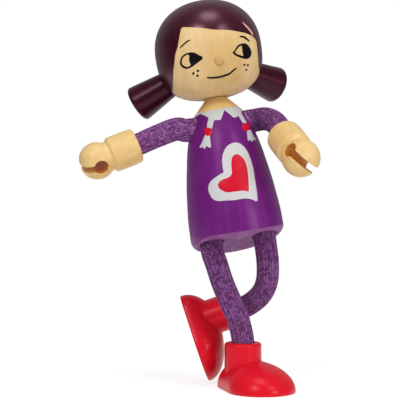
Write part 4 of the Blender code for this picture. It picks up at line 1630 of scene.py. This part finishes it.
@dataclass
class Hand:
    """A turned hand: barrel, ball, gripping hole and slot."""

    side: str
    cuff: Triple
    reach: Triple
    grip: Triple
    length: float = 16.75
    barrel_length: float = 8.0
    barrel_radius: float = 4.95
    cuff_radius: float = 4.85
    ball_radius: float = 5.15
    ball_centre: float = 11.9
    ball_start: float = -40.0
    neck_radius: float = 4.12
    grip_radius: float = 1.95
    slot_width: float = 2.0
    bore_depth: float = 5.2
    bore_radius: float = 3.5
    grit: float = 0.15

    def place(self) -> Matrix:
        """The hand's place: Z out from the cuff, Y through the gripping hole."""
        return reaching(self.cuff, Vector(self.reach), Vector(self.grip))

    def profile(self) -> Profile:
        """Draw the hand's outline.

        Returns:
            The outline, from the cuff to the ball's tip.
        """
        cuff = arc((self.cuff_radius - 0.7, 0.7), 0.7, -90.0, 0.0, 8)
        barrel = [(self.barrel_radius, self.barrel_length * share) for share in (0.3, 0.6)]
        barrel += arc((self.barrel_radius - 0.8, self.barrel_length - 0.8), 0.8, 0.0, 70.0, 8)
        back = self.ball_centre - self.barrel_length + 0.55
        front = self.length - self.ball_centre
        ball = []
        for i in range(1, 44):
            angle = math.radians(self.ball_start + (90.0 - self.ball_start) * i / 44)
            reach = back if angle < 0 else front
            radius = self.ball_radius * math.cos(angle) ** 0.85
            ball.append((radius, self.ball_centre + reach * math.sin(angle)))
        thin, start = self.neck_radius, self.barrel_length
        neck = [(thin + 0.08, start + 0.22), (thin, start + 0.55)]
        return [(0.0, 0.0), *cuff, *barrel, *neck, *ball, (0.0, self.length)]

    def build(self) -> None:
        """Turn, drill, slot and sand the hand, and put it on its forearm."""
        place = self.place()
        hand = Workpiece.turned(f"{self.side}_hand_turned", self.profile(), 96, place)
        hand.bore(place, self.bore_radius, -3.0, self.bore_depth)
        across = place @ Matrix.Translation((0, 0, self.ball_centre)) @ Matrix.Rotation(math.pi / 2, 4, "X")
        hand.bore(across, self.grip_radius, -9.0, 9.0)
        half = self.slot_width / 2
        low, high = self.ball_centre, self.length + 3.0
        corners = [(x, y, z) for z in (low, high) for y in (-9.0, 9.0) for x in (-half, half)]
        sides = [(0, 2, 3, 1), (4, 5, 7, 6), (0, 1, 5, 4), (2, 6, 7, 3), (0, 4, 6, 2), (1, 3, 7, 5)]
        hand.joined(Workpiece("saw", corners, sides, place))
        hand.sand(self.grit, 5)
        hand.mark("drilled", self.drilled)
        made = hand.hand_over([Finish.HAND_MAPLE], crease=180.0)
        settle(made, f"{self.side}_forearm", "bare_maple", f"{self.side}_hand")

    def drilled(self, points: np.ndarray) -> np.ndarray:
        """Mark what is inside the cord's bore and the gripping hole, and a little in the slot: where the
        finish paints shade over torn end grain.

        Args:
            points: The hand's points.

        Returns:
            The mark at each point.
        """
        x, y, z = points.T
        bored = (np.hypot(x, y) < self.bore_radius + 0.06) & (z > 0.25) & (z < self.bore_depth + 0.2)
        gripped = np.hypot(x, z - self.ball_centre) < self.grip_radius + 0.05
        sawn = (np.abs(x) < self.slot_width / 2 + 0.05) & (z > self.ball_centre)
        rim = np.hypot(np.hypot(x, y), z - self.ball_centre) > 4.75
        return np.where(bored | (gripped & ~rim), 1.0, np.where(sawn & ~rim, 0.6, 0.0))


@dataclass
class Shoe:
    """A solid shoe: half an egg on a low upright edge, with a round ankle."""

    side: str
    place: Matrix
    heel: float = 8.6
    toe: float = 17.1
    heel_radius: float = 4.6
    toe_radius: float = 9.4
    dome: float = 8.4
    crown: float = 1.9
    welt: float = 0.35
    ankle_radius: float = 5.15
    ankle_height: float = 13.0
    ankle_round: float = 0.75
    bore_depth: float = 7.5
    bore_radius: float = 3.5
    grit: float = 0.2

    def outline(self, count: int) -> Profile:
        """Draw the egg-shaped sole: a small heel arc and a large toe arc joined by tangents.

        Args:
            count: How many points it has.

        Returns:
            The outline.
        """
        heel_x = self.heel_radius - self.heel
        toe_x = self.toe - self.toe_radius
        turn = math.pi / 2 + math.asin((self.toe_radius - self.heel_radius) / (toe_x - heel_x))
        ahead = count * 3 // 5
        front = np.linspace(-turn, turn, ahead)
        back = turn + (math.tau - 2 * turn) * (np.arange(count - ahead) + 0.5) / (count - ahead)
        arcs = ((toe_x, self.toe_radius, front), (heel_x, self.heel_radius, back))
        return [(x + radius * math.cos(a), radius * math.sin(a)) for x, radius, turns in arcs for a in turns]

    def build(self) -> None:
        """Shape, drill and sand the shoe, and put it on its foot."""
        rim = self.outline(120)
        sizes = [(0.985, 0.98, 0.0)]
        for angle in np.linspace(0.0, math.pi / 2, 27)[:-1]:
            height = self.welt + (self.dome - self.welt) * math.sin(angle)
            sizes.append((math.cos(angle), math.cos(angle), height))
        rings = [
            [(self.crown + (x - self.crown) * along, y * across, height) for x, y in rim]
            for along, across, height in sizes
        ]
        points, faces = lofted((self.crown, 0.0, 0.0), rings, (self.crown, 0.0, self.dome))
        shoe = Workpiece(f"{self.side}_shoe_shaped", points, faces, self.place)
        middle = (self.ankle_radius - self.ankle_round, self.ankle_height - self.ankle_round)
        ankle = [(0.0, 2.0), (self.ankle_radius, 2.0)] + arc(middle, self.ankle_round, 0.0, 90.0, 8)
        shoe.joined(Workpiece.turned("ankle", ankle + [(0.0, self.ankle_height)], 96, self.place), "UNION")
        shoe.bore(self.place, self.bore_radius, self.ankle_height - self.bore_depth, self.ankle_height + 3.0)
        shoe.sand(self.grit, 4)
        shoe.mark("drilled", self.drilled)
        made = shoe.hand_over([Finish.SHOE], crease=180.0)
        settle(made, f"{self.side}_foot", "shoe_lacquer", f"{self.side}_shoe")

    def drilled(self, points: np.ndarray) -> np.ndarray:
        """Mark what is inside the cord's bore, where the finish paints shade.

        Args:
            points: The shoe's points.

        Returns:
            The mark at each point.
        """
        x, y, z = points.T
        deep, high = self.ankle_height - self.bore_depth - 0.1, self.ankle_height - 0.3
        return (np.hypot(x, y) < self.bore_radius + 0.06) & (z > deep) & (z < high)


@dataclass
class Cord:
    """One limb's braided cord and wire, made in one length for each bend."""

    name: str
    points: list[Vector]
    leave: float
    bends: list[Pair]
    bodies: list[str]
    stands_for: list[list[str]]
    wire: str
    finish: Finish
    start: float = 0.0
    shown: Pair = (math.inf, math.inf)     # from where to where it shows: nowhere, until it is set
    girth: Profile = field(default_factory=lambda: [(0.0, 3.2)])    # radii, by distance
    line: np.ndarray = field(init=False)
    run: np.ndarray = field(init=False)
    ahead: np.ndarray = field(init=False)
    across: np.ndarray = field(init=False)

    CHART = "braid"        # the map of round and along, for the finish
    COLUMNS = 24           # columns of strands round the braid
    ROUND = 120            # points round it
    PITCH = 0.54           # a strand's length along it
    RISE = 1.25            # strands that a column climbs across its width
    BORE = 1.15            # the wire channel's radius
    SUNK = 0.10            # how far the plain tube is inside the cord's outside, where it is hidden
    GAP = 0.13             # how much deeper the gaps between strands are, where it shows
    STRAND = 0.21          # a strand's height
    FADE = 0.8             # the length over which the strands rise
    WIRE_RADIUS = 0.75
    WIRE_SIDES = 16
    WIRE_STEP = 0.8
    WIRE_SHORT = 1.0       # how far the wire ends before the cord

    def __post_init__(self) -> None:
        """Work out the cord's line, and carry a frame along it without twist."""
        self.line = smooth_line(self.points, 0.05)
        self.run = run_along(self.line)
        self.ahead = np.gradient(self.line, axis=0)
        self.ahead /= np.linalg.norm(self.ahead, axis=1)[:, None]
        across = [np.array(Vector(self.ahead[0]).orthogonal().normalized())]
        for before, after in zip(self.ahead, self.ahead[1:]):
            turn = Vector(before).rotation_difference(Vector(after))
            across.append(np.array(turn @ Vector(across[-1])))
        self.across = np.array(across)

    def at(self, distance: float) -> Vector:
        """The point at a distance along the cord."""
        return Vector([float(np.interp(distance, self.run, self.line[:, k])) for k in range(3)])

    def ring(self, distance: float, radii: np.ndarray) -> np.ndarray:
        """Lay a ring of points round the cord.

        Args:
            distance: Where along it.
            radii: How far out each point is.

        Returns:
            The points.
        """
        index = float(np.interp(distance, self.run, np.arange(len(self.run))))
        low = min(int(index), len(self.run) - 2)
        share = index - low
        centre = self.line[low] * (1 - share) + self.line[low + 1] * share
        ahead = self.ahead[low] * (1 - share) + self.ahead[low + 1] * share
        across = self.across[low] * (1 - share) + self.across[low + 1] * share
        up = np.cross(ahead, across)
        turns = np.arange(len(radii)) * math.tau / len(radii)
        return centre + radii[:, None] * (np.cos(turns)[:, None] * across + np.sin(turns)[:, None] * up)

    def relief(self, distance: float) -> np.ndarray:
        """Work out the cord's radius round it, with its columns and strands.

        Args:
            distance: Where along it.

        Returns:
            The radius at each point round.
        """
        low, high = self.shown
        fade = min(1.0, max(0.0, (distance - low) / self.FADE), max(0.0, (high - distance) / self.FADE))
        places = np.arange(self.ROUND) / self.ROUND
        column = places * self.COLUMNS
        across = np.abs(np.sin(np.pi * column)) ** 0.35
        sign = np.where((column * 0.5) % 1.0 < 0.5, 1.0, -1.0)
        strand = np.abs(np.sin(np.pi * (distance / self.PITCH + sign * column * self.RISE))) ** 0.7
        radius = float(np.interp(distance, *zip(*self.girth)))
        return radius - self.SUNK + fade * (self.STRAND * across * strand - self.GAP)

    def build(self) -> None:
        """Make the cord's lengths and the wire inside them."""
        cuts = [self.start]
        for (_, high), (low, _) in zip(self.bends, self.bends[1:]):
            cuts.append(self.leave + (high + low) / 2)
        cuts.append(float(self.run[-1]))
        for index, bend in enumerate(self.bends):
            ends = [self.at(self.leave + edge) * MM for edge in bend]
            tip = index == len(self.bends) - 1
            pair = self.bodies[index:index + 2]
            for piece in self.length(f"_{index + 1}", *cuts[index:index + 2], self.stands_for[index], tip):
                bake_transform(piece)

    def length(
        self, label: str, start: float, stop: float, nodes: Sequence[str], tip: bool,
    ) -> tuple[bpy.types.Object, bpy.types.Object]:
        """Make one length of the cord and its wire, and hide the nodes that they stand for.

        Args:
            label: What ends the two pieces' names.
            start: Where along the cord it starts.
            stop: Where it ends.
            nodes: The nodes that the braid stands for.
            tip: Whether the cord ends with it.

        Returns:
            The braid and the wire.
        """
        sleeve = self.sleeve(f"{self.name}_braid{label}", start, stop)
        core = self.core(f"{self.name}_wire{label}", start, stop, tip)
        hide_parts(*nodes)
        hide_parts(self.wire)
        return sleeve, core

    def stations(self, start: float, stop: float) -> list[float]:
        """Choose where rings go: close on what shows, wide where it is hidden.

        Args:
            start: Where the length starts.
            stop: Where it ends.

        Returns:
            The rings' distances along the cord.
        """
        step = self.PITCH / 4
        first, last = round(start / step), round(stop / step)
        places = [first]
        while places[-1] < last:
            here = places[-1] * step
            hidden = here < self.shown[0] - 1.0 or here > self.shown[1] + 1.0
            places.append(min(last, places[-1] + (6 if hidden else 1)))
        return [place * step for place in places]

    def sleeve(self, name: str, start: float, stop: float) -> bpy.types.Object:
        """Braid one length, hollow for its wire.

        Args:
            name: The piece's name.
            start: Where along the cord it starts.
            stop: Where it ends.

        Returns:
            The braid.
        """
        stations = [place for place in self.stations(start, stop) if place <= self.run[-1]]
        size = self.ROUND
        faces, chart = [], []
        for j, (low, high) in enumerate(zip(stations, stations[1:])):   # each split along its strands
            for k in range(size):
                after = (k + 1) % size
                corners = [j * size + k, j * size + after, (j + 1) * size + after, (j + 1) * size + k]
                spots = [(k / size, low), ((k + 1) / size, low), ((k + 1) / size, high), (k / size, high)]
                rising = (k * self.COLUMNS // size) % 2 == 0
                for half in ((0, 1, 3), (1, 2, 3)) if rising else ((0, 1, 2), (0, 2, 3)):
                    faces.append(tuple(corners[corner] for corner in half))
                    chart += [spots[corner] for corner in half]
        bore_round = size // 4
        inner = stations[::6] if (len(stations) - 1) % 6 == 0 else stations[::6] + [stations[-1]]
        base = len(stations) * size
        for j in range(len(inner) - 1):
            low, high = base + j * bore_round, base + (j + 1) * bore_round
            for k in range(bore_round):
                after = (k + 1) % bore_round
                faces.append((low + k, high + k, high + after, low + after))
        top = (len(stations) - 1) * size
        top_bore = base + (len(inner) - 1) * bore_round
        for k in range(bore_round):
            after = (k + 1) % bore_round
            rim = [(4 * k + i) % size for i in range(5)]
            faces.append((base + k, base + after, *reversed(rim)))
            faces.append((*[top + i for i in rim], top_bore + after, top_bore + k))
        chart += [(0.0, 0.0)] * (4 * bore_round * (len(inner) - 1) + 14 * bore_round)
        points = [self.ring(place, self.relief(place)) for place in stations]
        points += [self.ring(place, np.full(bore_round, self.BORE)) for place in inner]
        piece = Workpiece(name, np.concatenate(points), faces, Matrix.Identity(4))
        layer = piece.thing.data.uv_layers.new(name=self.CHART)
        layer.data.foreach_set("uv", np.array(chart, np.float32).ravel())
        return piece.hand_over([self.finish], crease=75.0)

    def core(self, name: str, start: float, stop: float, tip: bool) -> bpy.types.Object:
        """Draw one length of the bendy wire.

        Args:
            name: The piece's name.
            start: Where along the cord it starts.
            stop: Where it ends.
            tip: Whether the cord ends with it, so that the wire is a little shorter.

        Returns:
            The wire.
        """
        stop = stop - self.WIRE_SHORT if tip else stop
        count = max(4, round((stop - start) / self.WIRE_STEP))
        radii = np.full(self.WIRE_SIDES, self.WIRE_RADIUS)
        rings = [self.ring(place, radii) for place in np.linspace(start, stop, count + 1)]
        points, faces = lofted(self.at(start), rings, self.at(stop))
        return Workpiece(name, points, faces, Matrix.Identity(4)).hand_over([Finish.WIRE], crease=60.0)


@dataclass
class Limbs:
    """All the cords, with the hands and shoes on their ends."""

    body: Body
    arm_clear: float = 9.8
    arm_inside: float = 6.6
    hands: dict[str, Hand] = field(default_factory=lambda: {
        "right": Hand("right", (-29.2, -3.2, 67.65), (-0.91, -0.17, -0.37), (0.19, -0.86, -0.475)),
        "left": Hand("left", (10.6, -9.1, 69.95), (0.34, -0.775, -0.535), (-0.62, -0.70, 0.35)),
    })
    shoes: dict[str, Shoe] = field(default_factory=lambda: {
        "right": Shoe("right", STANCE.standing_shoe()),
        "left": Shoe("left", STANCE.raised_shoe()),
    })

    ARM_FREE = {
        "right": [(-18.1, -1.2, 72.15), (-23.6, -2.0, 70.2)],
        "left": [(5.7, 0.9, 75.1), (7.9, -2.4, 74.4), (9.55, -5.9, 72.5)],
    }
    LEG_FREE = {
        "right": [(-8.5, -1.9, 38.0), (-7.55, -2.5, 35.3), (-5.5, -2.9, 29.1), (-3.05, -2.4, 23.5),
                  (-1.3, -1.3, 19.2), (-0.25, -0.2, 14.9)],
        "left": [(6.5, 1.35, 39.0), (6.95, 2.0, 35.2), (6.9, 4.2, 30.0), (5.6, 7.0, 26.1),
                 (2.6, 10.0, 23.0), (0.3, 11.8, 21.65)],
    }
    WRISTS = {"right": 3.1, "left": 2.85}       # the cord's radius at each cuff
    ARM_SHOWS = 7.4        # from where along an arm's cord it shows
    LEG_SHOWS = 5.0        # how far up its bore a leg's cord shows
    PAST_RIM = 0.8         # how far inside a hand or shoe the strands go on
    ARM_BENDS = [(0.2, 4.3), (5.4, 9.4), (10.5, 13.7)]
    LEG_BENDS = [(0.9, 6.1), (8.0, 13.0), (14.9, 19.9), (23.2, 28.3)]

    def build(self) -> None:
        """Make the limbs one by one."""
        for side, sign in (("right", -1), ("left", 1)):
            self.hands[side].build()
            LOG.info("%s hand turned, drilled and sanded", side)
            self.arm(side, sign).build()
            LOG.info("%s arm cord braided", side)
            self.shoes[side].build()
            LOG.info("%s shoe shaped and lacquered", side)
            self.leg(side, sign).build()
            LOG.info("%s leg cord braided", side)
        self.join_arms()

    def arm(self, side: str, sign: int) -> Cord:
        """Lay out one arm's cord, from inside the body to inside the hand.

        Args:
            side: Right or left.
            sign: Minus one for the right, one for the left.

        Returns:
            The cord, ready to build.
        """
        outward = (self.body.place.to_3x3() @ Vector((1.0, 0.0, 0.0))).normalized() * sign
        middle = self.body.place @ Vector((0.0, 0.0, self.body.arm_bore_height))
        hand = self.hands[side]
        reach, cuff = Vector(hand.reach).normalized(), Vector(hand.cuff)
        depth = hand.bore_depth - CLEARANCE
        points = [middle + outward * far for far in (0.0, 3.0, 6.0, self.arm_clear)]
        points += [Vector(point) for point in self.ARM_FREE[side]]
        points += [cuff + reach * far for far in (0.0, depth * 0.5, depth)]
        cord = Cord(
            f"{side}_arm", points, self.arm_clear, self.ARM_BENDS,
            bodies=["torso", f"{side}_shoulder", f"{side}_upper_arm", f"{side}_forearm"],
            stands_for=[
                [f"{side}_shoulder_bend"],
                [f"{side}_shoulder_cord", f"{side}_upper_arm_bend"],
                [f"{side}_upper_arm_cord", f"{side}_elbow_bend", f"{side}_forearm_cord"],
            ],
            wire="arm_wire", finish=Finish.ARM_BRAID_PAINTED_LIT, start=self.arm_inside,
        )
        seat = float(cord.run[-1]) - depth
        cord.shown = (self.ARM_SHOWS, seat + self.PAST_RIM)
        cord.girth = [(7.0, 3.3), (10.0, 3.3), (seat - 4.0, 3.15), (seat, self.WRISTS[side])]
        return cord

    def leg(self, side: str, sign: int) -> Cord:
        """Lay out one leg's cord, from inside the body to inside the shoe.

        Args:
            side: Right or left.
            sign: Minus one for the right, one for the left.

        Returns:
            The cord, ready to build.
        """
        shoe = self.shoes[side]
        offset, inside = sign * self.body.leg_bore_offset, self.body.leg_bore_depth - CLEARANCE
        depth = shoe.bore_depth - CLEARANCE
        top, root = (self.body.place @ Vector((offset, 0.0, height)) for height in (inside, 0.0))
        ankle, foot = (shoe.place @ Vector((0.0, 0.0, shoe.ankle_height - down)) for down in (0.0, depth))
        points = [top, (top + root) / 2, root]
        points += [Vector(point) for point in self.LEG_FREE[side]]
        points += [ankle, (ankle + foot) / 2, foot]
        cord = Cord(
            f"{side}_leg", points, 0.0, self.LEG_BENDS,
            bodies=["torso", f"{side}_hip", f"{side}_thigh", f"{side}_shin", f"{side}_foot"],
            stands_for=[
                [f"{side}_leg_cord_root", f"{side}_hip_bend"],
                [f"{side}_hip_cord", f"{side}_thigh_bend"],
                [f"{side}_thigh_cord", f"{side}_knee_bend"],
                [f"{side}_shin_cord", f"{side}_ankle_bend", f"{side}_ankle_cord"],
            ],
            wire=f"{side}_leg_wire", finish=Finish.LEG_BRAID_PAINTED_SHADED,
        )
        gaps = np.linalg.norm(cord.line - np.array(root), axis=1)
        cord.leave = float(cord.run[int(gaps.argmin())])
        cord.shown = (cord.leave - self.LEG_SHOWS, float(cord.run[-1]) - depth + self.PAST_RIM)
        return cord

    def join_arms(self) -> None:
        """Make the length of arm cord that lies inside the body."""
        height = self.body.arm_bore_height
        ends = [self.body.place @ Vector((sign * self.arm_inside, 0.0, height)) for sign in (-1, 1)]
        points = [ends[0].lerp(ends[1], share) for share in (0.0, 0.25, 0.5, 0.75, 1.0)]
        cord = Cord(
            "arm_middle", points, 0.0, [], bodies=["torso"], stands_for=[], wire="arm_wire",
            finish=Finish.ARM_BRAID_PAINTED_LIT, girth=[(0.0, 3.25)],
        )
        for piece in cord.length("", 0.0, float(cord.run[-1]), ["arm_cord_middle"], False):
            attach(piece, "torso")
        LOG.info("arm cord joined through the body")


@dataclass(frozen=True)
class PaleCard:
    """White card for the floor, lit by itself so that only a soft shadow shows on it."""

    name: str = "white_card"
    colour: Colour = (0.90, 0.90, 0.90)
    share: float = 0.60
    glow: float = 1.29
    bounce: float = 0.12
    fade: Pair = (60.0, 230.0)

    def make(self) -> bpy.types.Material:
        """Build a glow that cameras and reflections see, and a plain matt share.

        Returns:
            The material.
        """
        board, spot = Board.blank(self.name)
        x, y, _ = board.parts(spot)
        away = board.length(x, y).eased(*self.fade)
        seen = sum(board.rays("Camera", "Glossy", "Transmission")).clipped()
        glow = board.node("ShaderNodeEmission", inputs={"Strength": self.glow - away * (self.glow - 1.0)})
        matt = board.node("ShaderNodeBsdfDiffuse", inputs={"Color": (*self.colour, 1.0)})
        shown = self.bounce + seen * (away * (1.0 - self.share) + self.share - self.bounce)
        mix = board.node("ShaderNodeMixShader", inputs={0: shown})
        surface = board.tree.nodes["Material Output"].inputs["Surface"]
        for made, socket in ((matt, mix.inputs[1]), (glow, mix.inputs[2]), (mix, surface)):
            board.tree.links.new(made.outputs[0], socket)
        return board.holder


@dataclass
class Studio:
    """A pale floor and soft lamps at a plain level."""

    floor_half: float = 260.0
    floor_drop: float = 0.02
    aim: Triple = (-0.012, 0.0, 0.055)
    lamps: tuple[tuple[str, Triple, Pair, float], ...] = (
        ("left_lamp", (-0.34, -0.70, 0.56), (0.24, 0.36), 0.31),
        ("right_lamp", (0.56, -0.60, 0.19), (0.26, 0.13), 0.21),
        ("right_top_lamp", (0.44, -0.60, 0.62), (0.18, 0.20), 0.13),
        ("front_top_lamp", (0.00, -0.26, 0.92), (0.36, 0.36), 0.235),
    )

    def build(self) -> None:
        """Set the floor, the lamps, the world and the view settings."""
        self.lay_floor()
        for lamp in self.lamps:
            self.hang_lamp(*lamp)
        self.fill_world()
        bpy.context.scene.view_settings.view_transform = "Standard"

    def lay_floor(self) -> None:
        """Lay the white floor just under the sole."""
        sides = ((-1, -1), (1, -1), (1, 1), (-1, 1))
        corners = [(x * self.floor_half, y * self.floor_half, -self.floor_drop) for x, y in sides]
        card = Workpiece("floor", corners, [(0, 1, 2, 3)], Matrix.Identity(4))
        card.hand_over([PaleCard()])

    def hang_lamp(self, name: str, spot: Triple, size: Pair, level: float) -> None:
        """Hang a soft box that aims at the doll.

        Args:
            name: The lamp's name.
            spot: Where it hangs, in metres.
            size: Its width and height, in metres.
            level: How brightly a white card that faces it shows, of one.
        """
        away = Vector(spot) - Vector(self.aim)
        lamp = bpy.data.lights.new(name, "AREA")
        lamp.shape = "RECTANGLE"
        lamp.size, lamp.size_y = size
        lamp.energy = level * math.pi ** 2 * away.length_squared
        thing = bpy.data.objects.new(name, lamp)
        thing.location = spot
        thing.rotation_euler = away.to_track_quat("Z", "Y").to_euler()
        bpy.context.scene.collection.objects.link(thing)

    def fill_world(self) -> None:
        """White to the camera, a soft even fill to the doll, and a dim room in its gloss."""
        world = bpy.data.worlds.new("studio")
        bpy.context.scene.world = world
        board = Board(world)
        _, y, z = board.parts(board.signal("ShaderNodeTexCoord", output="Generated"))
        seen, glance = board.rays("Camera", "Glossy")
        room = 0.04 + y.eased(-0.1, 0.7) * 0.30 + z.eased(0.2, 0.9) * 0.14
        soft = 0.37 - y.eased(-0.3, 0.6) * 0.10
        plain = 1.0 - seen - glance
        sockets = board.tree.nodes["Background"].inputs
        board.feed(sockets["Color"], (1.0, 1.0, 1.0, 1.0))
        board.feed(sockets["Strength"], seen + glance * room + plain * soft)


def main() -> None:
    """Build the doll's looks, piece by piece."""
    logging.basicConfig(level=logging.INFO, format="%(message)s")
    VIEWPOINT.build()
    Studio().build()
    LOG.info("camera and studio set")
    body = Body()
    body.build()
    LOG.info("body turned and painted")
    Head(body).build()
    LOG.info("head turned, painted and fitted with its pegs")
    Limbs(body).build()


if __name__ == "__main__":
    main()
